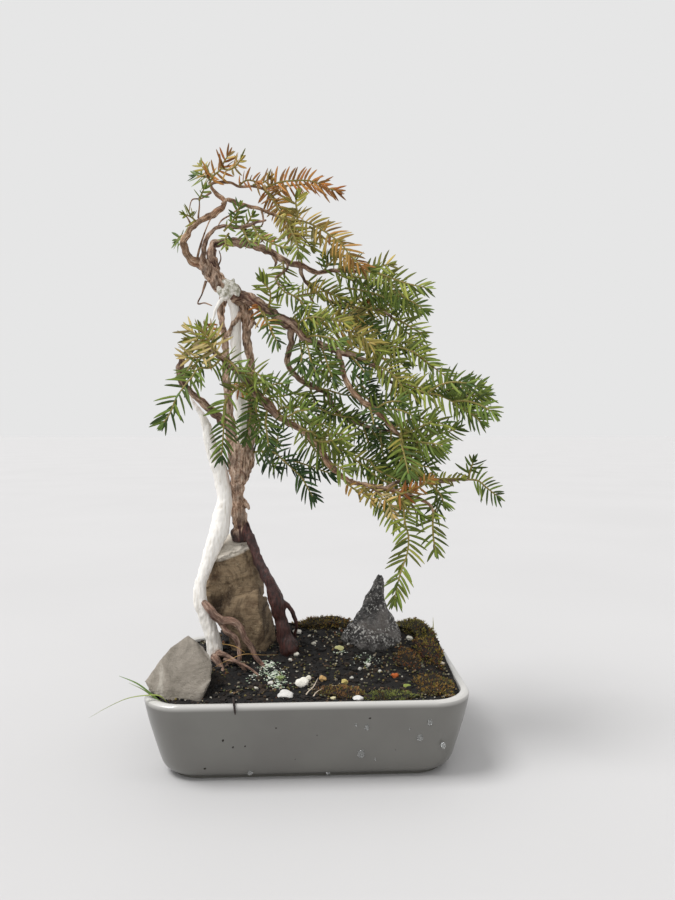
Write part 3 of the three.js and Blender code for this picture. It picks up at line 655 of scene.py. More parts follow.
def bark_finish(name, plates, under):
    """Flaking bark: dull plates in pale and dark blotches, and glossier red-brown under-bark.

    Its fibres are 1.6 mm apart and drawn out along the grain, its plates 4 mm wide and its
    blotches 8 mm.
    """
    finish, tree, shader = new_finish(name, Roughness=0.82)
    lengthwise = add_node(tree, "ShaderNodeAttribute", {}, attribute_name="grain")
    stretched = add_node(
        tree, "ShaderNodeMapping", {"Vector": lengthwise.outputs["Vector"], "Scale": (1, 1, 0.22)}
    )
    fibre = add_node(
        tree, "ShaderNodeTexNoise",
        {"Vector": stretched, "Scale": 620.0, "Detail": 7.0, "Roughness": 0.7},
    )
    base = add_node(tree, "ShaderNodeValToRGB", {"Fac": fibre}, stops=plates)
    scale = add_node(
        tree, "ShaderNodeTexNoise",
        {"Vector": stretched, "Scale": 260.0, "Detail": 5.0, "Distortion": 0.6},
    )
    bias = add_node(tree, "ShaderNodeAttribute", {}, attribute_name="under_bark")
    sum_up = add_node(tree, "ShaderNodeMath", {0: scale, 1: bias.outputs["Fac"]}, operation="ADD")
    peeled = add_node(tree, "ShaderNodeMapRange", {"Value": sum_up, "From Min": 0.74, "From Max": 0.92})
    beneath = add_node(
        tree, "ShaderNodeValToRGB", {"Fac": fibre}, stops=[(0.35, under[0]), (0.68, under[1])]
    )
    coloured = add_node(tree, "ShaderNodeMix", {0: peeled, 6: base, 7: beneath}, data_type="RGBA")
    both = add_node(tree, "ShaderNodeMath", {0: fibre, 1: scale}, operation="ADD")
    relief = add_node(tree, "ShaderNodeBump", {"Height": both, "Strength": 1.0, "Distance": 0.0014})
    dull = add_node(
        tree, "ShaderNodeMapRange",
        {"Value": bias.outputs["Fac"], "From Min": 0.25, "From Max": 0.6, "To Min": 0.85, "To Max": 0.42},
    )
    blotch = add_node(
        tree, "ShaderNodeTexNoise",
        {"Vector": lengthwise.outputs["Vector"], "Scale": 130.0, "Detail": 4.0, "Roughness": 0.6},
    )
    weather = add_node(
        tree, "ShaderNodeMapRange",
        {"Value": blotch, "From Min": 0.36, "From Max": 0.62, "To Min": 0.5, "To Max": 1.3},
    )
    uneven = add_node(
        tree, "ShaderNodeVectorMath", {0: coloured.outputs[2], "Scale": weather}, operation="SCALE"
    )
    tree.links.new(dull.outputs["Result"], shader.inputs["Roughness"])
    tree.links.new(uneven.outputs["Vector"], shader.inputs["Base Color"])
    tree.links.new(relief.outputs["Normal"], shader.inputs["Normal"])
    return finish


def trunk_tone(co):
    """How much red under-bark shows: most on the root, little above, more at the cut stub."""
    rooty = share((0.152 - co.z) / 0.02)
    cut = 0.1 if co.z > 0.285 and co.x < -0.062 and co.z < 0.312 - co.x * 0.1 else 0.0
    return 0.12 + 0.5 * rooty + cut


# Old trunk bark: bleached plates that lift off dark cracks, so it reads rough and pale.
old_bark = bark_finish(
    "flaky trunk bark", [(0.34, "#35241a"), (0.43, "#8a6c56"), (0.52, "#c2a58e"), (0.66, "#e2cebb")],
    ("#120706", "#5b342d"),
)
trunk = grow_wood("flaky_trunk", TRUNK, old_bark, step=1.5, sides=16, fuse=0.0007, tone=trunk_tone)
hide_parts("trunk")


# Dead wood, stripped of its bark and bleached with lime sulphur: the long root and strip on
# the left, and the heart between the living strands up to the old wound.
BLEACHED_ROOT = [  # both by strands of points of x, y, z and radius, in millimetres
    [
        (-81, 6, 235, 0.5), (-78, 6, 229, 1.2), (-74, 7, 223, 2.0), (-70, 8, 214, 3.1),
        (-68, 10, 203, 4.1), (-64, 12, 190, 5.0), (-60, 13, 176, 5.3), (-58, 13, 163, 5.5),
        (-60, 12, 151, 6.2), (-62, 10, 140, 6.6), (-67, 8, 126, 5.4), (-71, 6, 114, 4.2),
        (-74, 5, 103, 3.7), (-73, 5, 90, 4.3), (-69.5, 5, 79, 4.8), (-65.5, 4, 67, 5.2),
        (-63.5, 4, 50, 5.4),
    ],
    [(-76, 5, 108, 1.8), (-77, 4, 99, 2.0), (-76, 3, 90, 2.1), (-72, 2, 82, 1.8)],
]
BLEACHED_HEART = [
    [
        (-46, 9, 199, 2.6), (-46, 8, 214, 3.6), (-46, 8, 228, 4.0), (-47, 8, 242, 3.4), (-49, 10, 259, 3.4),
        (-50, 11, 276, 3.8), (-50, 11, 292, 3.4), (-53, 9, 302, 3.6),
    ],
    [(-52, 5, 302, 2.6), (-55, 4, 307, 2.2), (-58, 3, 300, 1.5), (-62, 2, 293, 1.1), (-65, 1, 283, 0.6)],
    [(-50, 6, 302, 3.0), (-53, 4, 307, 3.3), (-55, 4, 311, 2.4), (-58, 4, 312, 1.4)],
    [(-47, 5, 301, 2.6), (-49, 3, 306, 3.0), (-51, 2, 310, 2.0), (-50, 1, 313, 0.8)],
    [(-55, 5, 300, 2.2), (-59, 4, 304, 2.4), (-61, 4, 308, 1.5)],
]

# Dead wood whitened with lime sulphur: dry and chalky, with fine cracks of 1.1 mm along the
# grain and grey-green algae in patches of 2.4 mm.
bleached, tree, shader = new_finish("lime-bleached dead wood", Roughness=0.7)
lengthwise = add_node(tree, "ShaderNodeAttribute", {}, attribute_name="grain")
stretched = add_node(
    tree, "ShaderNodeMapping", {"Vector": lengthwise.outputs["Vector"], "Scale": (1, 1, 0.08)}
)
fibre = add_node(
    tree, "ShaderNodeTexNoise", {"Vector": stretched, "Scale": 900.0, "Detail": 5.0, "Roughness": 0.6}
)
chalk = add_node(
    tree, "ShaderNodeValToRGB", {"Fac": fibre},
    stops=[(0.22, "#bdb4a8"), (0.34, "#ebe5db"), (0.52, "#faf7f2"), (0.85, "#f1ebe1")],
)
relief = add_node(tree, "ShaderNodeBump", {"Height": fibre, "Strength": 0.5, "Distance": 0.0006})
place = add_node(tree, "ShaderNodeTexCoord", {}).outputs["Object"]
algae = add_node(
    tree, "ShaderNodeTexNoise", {"Vector": place, "Scale": 420.0, "Detail": 5.0, "Roughness": 0.65}
)
wound = add_node(tree, "ShaderNodeAttribute", {}, attribute_name="under_bark")
weathering = add_node(tree, "ShaderNodeMath", {0: algae, 1: wound.outputs["Fac"]}, operation="ADD")
greyed = add_node(tree, "ShaderNodeMapRange", {"Value": weathering, "From Min": 0.92, "From Max": 1.15})
aged = add_node(tree, "ShaderNodeMix", {0: greyed, 6: chalk, 7: "#979480"}, data_type="RGBA")
tree.links.new(aged.outputs[2], shader.inputs["Base Color"])
tree.links.new(relief.outputs["Normal"], shader.inputs["Normal"])


def wound_tone(co):
    """How far the dead wood is greyed with algae: only round the old wound and at the foot."""
    return 0.55 * share((co.z - 0.294) / 0.008) + 0.5 * share((0.062 - co.z) / 0.01)


for name, node, routes in (
    ("stripped_root", "bleached_root", BLEACHED_ROOT),
    ("stripped_heart", "bleached_heart", BLEACHED_HEART),
):
    dead = grow_wood(name, routes, bleached, tone=wound_tone, relief=0.05, step=1.5, fuse=0.0006)
    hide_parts(node)


# Fine roots leave the foot of the bleached root and fan out over the soil, smooth and tan.
SURFACE_ROOTS = [  # each by points of x, y, z and radius, in millimetres
    [
        (-72, 3, 93, 2.0), (-67, -1, 89, 2.8), (-63, -4, 85, 3.0), (-58, -5, 82, 2.9), (-52, -6, 82, 2.6),
        (-47, -6, 79, 2.4), (-44, -7, 74, 2.2), (-42, -7, 69, 2.1), (-38, -8, 64, 1.9), (-35, -10, 58, 1.6),
        (-30, -14, 54, 1.3), (-27, -18, 50, 1.0),
    ],
    [
        (-60, -4, 81, 1.8), (-55, -7, 75, 1.9), (-50, -8, 72, 1.8), (-47, -9, 67, 1.7), (-46, -10, 61, 1.6),
        (-46, -10, 52, 1.5),
    ],
    [(-62, -1, 58, 2.2), (-57, -8, 60, 1.8), (-51, -12, 58, 1.4), (-45, -17, 56, 1.2), (-39, -21, 50, 0.9)],
    [(-64, -1, 56, 2.8), (-61, -9, 56, 2.4), (-57, -16, 52, 1.9), (-55, -21, 47, 1.3)],
    [(-61, -1, 59, 1.8), (-56, -7, 59, 1.5), (-54, -12, 56, 1.2), (-52, -16, 48, 1.0)],
    [(-56, -13, 58, 1.0), (-48, -18, 58, 0.9), (-40, -22, 56, 0.8), (-33, -25, 52, 0.7), (-30, -26, 48, 0.6)],
]

# Root bark: thin and smooth, tan over warm brown.
root_bark = bark_finish(
    "smooth root bark", [(0.3, "#3f2c23"), (0.44, "#765a4b"), (0.56, "#a08473"), (0.7, "#c0a898")],
    ("#3c1f19", "#7c5143"),
)
roots = grow_wood("fanned_roots", SURFACE_ROOTS, root_bark, relief=0.1, step=1.5, sides=12)
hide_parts("surface_roots")


# The branches: wired down and to the right, thick and scaly at their feet, thinner and
# browner towards the leaves. Each one starts inside the limb that carries it.
BRANCHES = {  # each limb by strands of points of x, y, z and radius, in millimetres
    "leader": [
        [
            (-73, 10, 324, 3.6), (-80, 7, 327, 2.7), (-83, 5, 332, 2.3), (-84, 4, 338, 2.2),
            (-81, 3, 344, 2.1), (-76, 3, 349, 2.0), (-70, 4, 354, 1.9), (-63, 5, 358, 1.8),
            (-58, 6, 363, 1.7), (-57, 7, 367, 1.6), (-61, 8, 371, 1.5), (-65, 8, 375, 1.3),
            (-67, 8, 380, 1.1),
        ],
        [
            (-58, 6, 364, 1.5), (-54, 4, 367, 1.4), (-46, 2, 363, 1.3), (-36, 1, 361, 1.2),
            (-28, 0, 358, 1.1), (-21, -1, 355, 0.9),
        ],
        [
            (-67, 8, 377, 1.1), (-63, 9, 380, 1.0), (-54, 11, 381, 1.0), (-47, 13, 379, 0.9),
            (-39, 15, 380, 0.9), (-30, 17, 379, 0.9),
        ],
        [(-74, 4, 354, 0.7), (-73, 2, 362, 0.45), (-73, 0, 367, 0.35)],
        [(-82, 4, 336, 0.8), (-86, 7, 341, 0.5), (-88, 10, 342, 0.3)],
        [(-78, 3, 347, 0.8), (-80, 0, 352, 0.5), (-82, -5, 354, 0.3)],
        [(-76, 8, 326, 0.8), (-72, 4, 338, 0.5), (-66, 0, 351, 0.4), (-62, 3, 357, 0.35)],
        [(-66, 8, 373, 0.7), (-72, 6, 368, 0.45), (-78, 3, 366, 0.35), (-80, 2, 358, 0.3)],
        [(-44, 2, 362, 0.7), (-50, -2, 356, 0.5), (-57, -6, 350, 0.4), (-60, -8, 344, 0.35)],
        [(-31, 0, 358, 0.7), (-30, -2, 350, 0.45), (-33, -3, 346, 0.4), (-39, -8, 343, 0.35)],
    ],
    "upper_branch": [
        [
            (-63, 12, 313, 4.2), (-65, 15, 323, 3.5), (-67, 18, 332, 3.1), (-67, 20, 339, 2.9),
            (-62, 21, 342, 2.8), (-49, 20, 343, 2.7), (-37, 18, 340, 2.6), (-28, 16, 336, 2.4),
            (-19, 13, 330, 2.3), (-12, 11, 326, 2.1), (-4, 9, 324, 1.9), (6, 7, 319, 1.5),
            (17, 4, 320, 1.3), (29, 2, 319, 1.2), (38, 0, 319, 1.0),
        ],
        [
            (-16, 12, 329, 0.9), (-14, 6, 322, 0.7), (-18, 3, 317, 0.6), (-22, 0, 313, 0.55),
            (-17, -2, 307, 0.5), (-10, -3, 301, 0.45), (-3, -4, 296, 0.4),
        ],
        [(-46, 20, 343, 1.6), (-43, 17, 346, 1.0), (-42, 15, 349, 0.5)],
        [(-24, 15, 333, 1.6), (-22, 12, 327, 1.0), (-23, 10, 323, 0.5)],
    ],
    "upper_twig": [
        [
            (-71, 8, 322, 2.2), (-70, 0, 332, 1.6), (-67, -5, 338, 1.4), (-63, -9, 342, 1.3),
            (-56, -12, 344, 1.2), (-48, -14, 343, 1.1), (-40, -16, 343, 1.0), (-34, -18, 345, 0.9),
            (-27, -20, 346, 0.7),
        ],
    ],
    "main_branch": [
        [
            (-52, 11, 301, 4.8), (-42, 4, 301, 4.3), (-34, -1, 296, 3.9), (-25, -4, 290, 3.6),
            (-17, -6, 284, 3.3), (-9, -8, 279, 3.0), (-2, -10, 272, 2.7), (8, -11, 267, 2.3),
            (19, -11, 263, 2.0), (30, -11, 260, 1.8), (39, -11, 256, 1.6), (47, -12, 251, 1.4),
            (53, -13, 244, 1.2), (60, -14, 240, 1.0),
        ],
    ],
    "hanging_branch": [
        [
            (-11, -8, 279, 2.4), (-11, -5, 271, 2.1), (-13, -1, 262, 2.0), (-14, 2, 256, 2.0),
            (-10, 5, 250, 1.9), (-3, 8, 244, 1.8), (6, 11, 240, 1.7), (14, 14, 235, 1.6),
            (19, 17, 226, 1.5), (26, 20, 219, 1.4), (37, 23, 215, 1.3), (49, 25, 212, 1.1),
            (61, 27, 210, 0.9),
        ],
    ],
    "low_branch": [
        [
            (-55, 12, 214, 3.6), (-64, 6, 222, 2.7), (-70, 2, 228, 2.4), (-75, -2, 233, 2.3),
            (-81, -6, 239, 2.2), (-84, -9, 244, 2.1), (-84, -12, 251, 2.1), (-82, -15, 258, 2.0),
            (-76, -18, 262, 2.0), (-70, -21, 264, 2.0), (-62, -23, 262, 2.1), (-55, -24, 257, 2.2),
            (-47, -24, 250, 2.3), (-40, -24, 242, 2.4), (-33, -24, 234, 2.5), (-28, -24, 228, 2.5),
            (-20, -24, 220, 2.4),
        ],
    ],
    "low_branch_end": [
        [
            (-23, -24, 223, 2.4), (-14, -24, 216, 2.1), (-6, -24, 212, 2.0), (2, -25, 205, 1.9),
            (8, -26, 198, 1.8), (13, -27, 189, 1.8), (20, -28, 182, 1.7), (28, -29, 177, 1.6),
            (38, -30, 175, 1.5), (49, -31, 173, 1.4), (60, -32, 170, 1.2), (70, -33, 167, 1.1),
            (77, -34, 163, 1.0), (80, -34, 158, 0.9),
        ],
        [(-35, -26, 233, 0.6), (-28, -28.5, 231, 0.7), (-22, -28.5, 226, 0.65), (-19, -27, 220, 0.5)],
        [(32, -29, 177, 0.7), (41, -34, 173, 0.5), (49, -35, 168, 0.4)],
        [(46, -31, 173, 0.7), (42, -35, 167, 0.5), (39, -37, 162, 0.35)],
        [(60, -32, 170, 0.7), (66, -36, 163, 0.5), (69, -38, 156, 0.35)],
    ],
    "brown_stick": [
        [
            (20, -11, 263, 1.8), (22, -15, 255, 1.7), (24, -18, 246, 1.7), (28, -20, 237, 1.8),
            (36, -21, 229, 1.9), (46, -21, 222, 1.9), (54, -21, 213, 1.6), (60, -20, 207, 1.2),
        ],
    ],
    "middle_twig": [
        [
            (-5, 9, 324, 1.5), (-3, 17, 317, 1.2), (4, 24, 311, 1.2), (15, 29, 304, 1.2),
            (28, 32, 302, 1.2), (40, 34, 299, 1.1), (52, 35, 299, 1.0), (61, 36, 294, 1.0),
            (69, 36, 286, 0.9),
        ],
    ],
    "right_twig": [
        [
            (49, -31, 173, 1.2), (59, -24, 177, 1.2), (69, -18, 179, 1.2), (78, -14, 178, 1.2),
            (89, -11, 176, 1.1), (99, -9, 177, 1.0), (109, -7, 177, 0.9),
        ],
    ],
    "dead_twigs": [
        [
            (-70, 10, 313, 1.0), (-72, 8, 305, 0.6), (-75, 6, 297, 0.5), (-70, 4, 297, 0.45),
            (-65, 3, 295, 0.4),
        ],
        [(-57, 10, 281, 0.9), (-60, 6, 280, 0.6), (-64, 3, 279, 0.5), (-70, 2, 284, 0.45)],
        [(-41, 12, 288, 1.4), (-37, 8, 285, 0.9), (-34, 6, 281, 0.4)],
        [(-41, 12, 296, 1.2), (-38, 7, 291, 0.8), (-39, 5, 286, 0.4)],
        [(-67, 9, 316, 1.2), (-62, 6, 321, 0.7), (-59, 4, 327, 0.5), (-60, 2, 332, 0.35)],
    ],
}
PALE_BRANCHES = ("brown_stick", "leader", "low_branch_end")

# Branch bark: small dark scales with dusty edges. The younger wood's is tan and calmer.
branch_bark = bark_finish(
    "scaly branch bark", [(0.34, "#20140f"), (0.43, "#6a4e3d"), (0.52, "#a88a73"), (0.66, "#d8c1ac")],
    ("#32150f", "#744536"),
)
twig_bark = bark_finish(
    "tan twig bark", [(0.32, "#3b281d"), (0.43, "#84644a"), (0.54, "#b8977a"), (0.68, "#dcc4ab")],
    ("#5b3122", "#a06a48"),
)
for node, routes in BRANCHES.items():
    finish = twig_bark if node in PALE_BRANCHES else branch_bark
    branch = grow_wood(node + "_bark", routes, finish, relief=0.3, step=0.9, sides=12)
    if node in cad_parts:
        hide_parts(node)


# The leaves are flat needles with a raised rib, set in two ranks along green shoots. One is
# modelled as a four-sided blade that is drawn out along Y, and copied for every leaf.
NEEDLE_RINGS = [(0.10, 1.9), (0.32, 1.35), (0.66, 0.9), (0.88, 0.62), (1.0, 0.2)]
NEEDLE_STEP = 1.42  # this and the next three are millimetres
NEEDLE_WIDTH = 1.75
NEEDLE_THICKNESS = 0.7
SHOOT_RADIUS = 0.75
LONGER = 1.16  # the drawn length of a needle against the one in the table
SIDESTEPPING = 0.14  # the share of needles that leave the two ranks
LEAF_FACING = np.array((0.0, -1.0, 0.25)) / np.linalg.norm((0.0, -1.0, 0.25))
LEAF_SEED = 100

bpy.ops.object.select_all(action="DESELECT")
bpy.ops.mesh.primitive_circle_add(
    vertices=4, radius=0.25, fill_type="NGON", rotation=(math.pi / 2, 0, 0)
)
needle = bpy.context.object
bpy.ops.object.transform_apply(rotation=True)
bpy.ops.object.mode_set(mode="EDIT")
bpy.ops.mesh.select_all(action="SELECT")
reached = 0.0
for place, wider in NEEDLE_RINGS:
    bpy.ops.mesh.extrude_region_move(TRANSFORM_OT_translate={"value": (0, place - reached, 0)})
    bpy.ops.transform.resize(value=(wider, 1, wider), center_override=(0, place, 0))
    reached = place
close_with_faces_out()
blade = np.array([v.co for v in needle.data.vertices])
blade /= np.abs(blade).max(axis=0) * (2, 1, 2)
blade_faces = [tuple(p.vertices) for p in needle.data.polygons]
bpy.data.objects.remove(needle)


def leafy_shoot(length, autumn, route, rng):
    """Points, faces and colours of one shoot's needles, in millimetres.

    A colour holds the hue from green to autumn, the shade, the place along the leaf and the
    rib. Autumn is the hue at the shoot's foot and tip, where 1.25 is dead straw.
    """
    line = smooth_through(route, 0.8)
    tangents = np.gradient(line, axis=0)
    tangents /= np.linalg.norm(tangents, axis=1)[:, None]
    lengths = np.concatenate([[0], np.cumsum(np.linalg.norm(np.diff(line, axis=0), axis=1))])
    whole = lengths[-1]
    points, faces, colours = [], [], []

    def add_needle(s, turn, lean, reach):
        """One needle at s along the shoot, turned about it and leaning out from its tip."""
        i = min(len(line) - 1, int(np.searchsorted(lengths, s)))
        t = tangents[i]
        front = LEAF_FACING - t * LEAF_FACING.dot(t)
        front /= np.linalg.norm(front)
        side = np.cross(front, t)
        outward = math.cos(turn) * front + math.sin(turn) * side
        along = math.cos(lean) * t + math.sin(lean) * outward
        flat = front - along * front.dot(along)
        if np.linalg.norm(flat) < 0.35:
            flat = -t + along * t.dot(along)
        flat /= np.linalg.norm(flat)
        wide = np.cross(along, flat)
        roll = rng.gauss(0, 0.24)
        wide, flat = (
            math.cos(roll) * wide + math.sin(roll) * flat,
            math.cos(roll) * flat - math.sin(roll) * wide,
        )
        curl = rng.uniform(0.1, 0.26) * reach
        fall = rng.uniform(-0.02, 0.1) * reach
        breadth = NEEDLE_WIDTH * rng.uniform(0.85, 1.1)
        x, y, z = blade.T
        shape = (
            line[i]
            + np.outer(x * breadth, wide)
            + np.outer(y * reach, along)
            + np.outer(z * NEEDLE_THICKNESS, flat)
            + np.outer(y**2 * curl, t)
            - np.outer(y**2 * fall, (0, 0, 1))
        )
        faces.extend([tuple(k + len(points) for k in face) for face in blade_faces])
        points.extend(shape)
        u = s / whole
        hue = autumn[0] * (1 - u) + autumn[1] * u + rng.gauss(0, 0.05)
        shade = rng.uniform(0.42, 1.48)
        colours.extend(
            (hue / 1.25, shade, along_y, float(abs(rib) > 0.1)) for along_y, rib in zip(y, z)
        )

    # Needles stand out at the foot of the shoot, lie forward near its tip and end in a tuft.
    s, side = rng.uniform(0.8, 2.0), 1
    while s < whole:
        u = s / whole
        lean = math.radians(80 - 42 * u**2 + rng.gauss(0, 4.5))
        turn = side * math.pi / 2 + rng.gauss(0, 0.26)
        if rng.random() < SIDESTEPPING:
            turn = rng.gauss(0, 0.5) + (math.pi if rng.random() < 0.35 else 0)
        reach = length * LONGER * (0.68 + 0.32 * math.sin(math.pi * min(1.0, 0.15 + u * 0.8)))
        reach *= rng.uniform(0.88, 1.12)
        add_needle(s, turn, lean, reach)
        s += NEEDLE_STEP * rng.uniform(0.8, 1.25)
        side = -side
    for k in range(4):
        turn = 2 * math.pi * (k + rng.random()) / 4
        add_needle(whole, turn, math.radians(rng.uniform(12, 30)), length * rng.uniform(0.4, 0.72))
    return points, faces, colours


# A waxy leaf, dull rather than glossy, in greens that run through lime and ochre to rust and
# straw. Patches of 4 mm drift in brightness, and the raised rib is paler.
needle_finish, tree, shader = new_finish("waxy yew leaf", Roughness=0.55, Specular_IOR_Level=0.22)
leaf = add_node(tree, "ShaderNodeAttribute", {}, attribute_name="leaf")
parts = add_node(tree, "ShaderNodeSeparateColor", {"Color": leaf.outputs["Color"]})
hue = add_node(
    tree, "ShaderNodeValToRGB", {"Fac": parts.outputs["Red"]},
    stops=[
        (0.0, "#2a3f23"), (0.1, "#43592a"), (0.22, "#66762f"), (0.32, "#83893c"), (0.42, "#a3944a"),
        (0.5, "#a38546"), (0.6, "#a2733a"), (0.74, "#93592a"), (0.84, "#a98a4a"), (0.94, "#cdbb80"),
    ],
)
place = add_node(tree, "ShaderNodeTexCoord", {}).outputs["Object"]
patch = add_node(tree, "ShaderNodeTexNoise", {"Vector": place, "Scale": 260.0})
light = add_node(tree, "ShaderNodeMapRange", {"Value": patch, "To Min": 0.82, "To Max": 1.18})
brighter = add_node(tree, "ShaderNodeMath", {0: light, 1: parts.outputs["Green"]}, operation="MULTIPLY")
shaded = add_node(tree, "ShaderNodeVectorMath", {0: hue, "Scale": brighter}, operation="SCALE")
rib = add_node(
    tree, "ShaderNodeMapRange", {"Value": leaf.outputs["Alpha"], "To Min": 0.78, "To Max": 1.25}
)
ribbed = add_node(tree, "ShaderNodeVectorMath", {0: shaded, "Scale": rib}, operation="SCALE")
tree.links.new(ribbed.outputs["Vector"], shader.inputs["Base Color"])

# Young shoots have thin bark, olive with tan flecks of 1.4 mm.
stem_finish, tree, shader = new_finish("green shoot bark", Roughness=0.6)
lengthwise = add_node(tree, "ShaderNodeAttribute", {}, attribute_name="grain")
fleck = add_node(
    tree, "ShaderNodeTexNoise", {"Vector": lengthwise.outputs["Vector"], "Scale": 700.0, "Detail": 3.0}
)
skin = add_node(
    tree, "ShaderNodeValToRGB", {"Fac": fleck},
    stops=[(0.3, "#655a2c"), (0.5, "#8f8842"), (0.7, "#8f6538")],
)
tree.links.new(skin.outputs["Color"], shader.inputs["Base Color"])

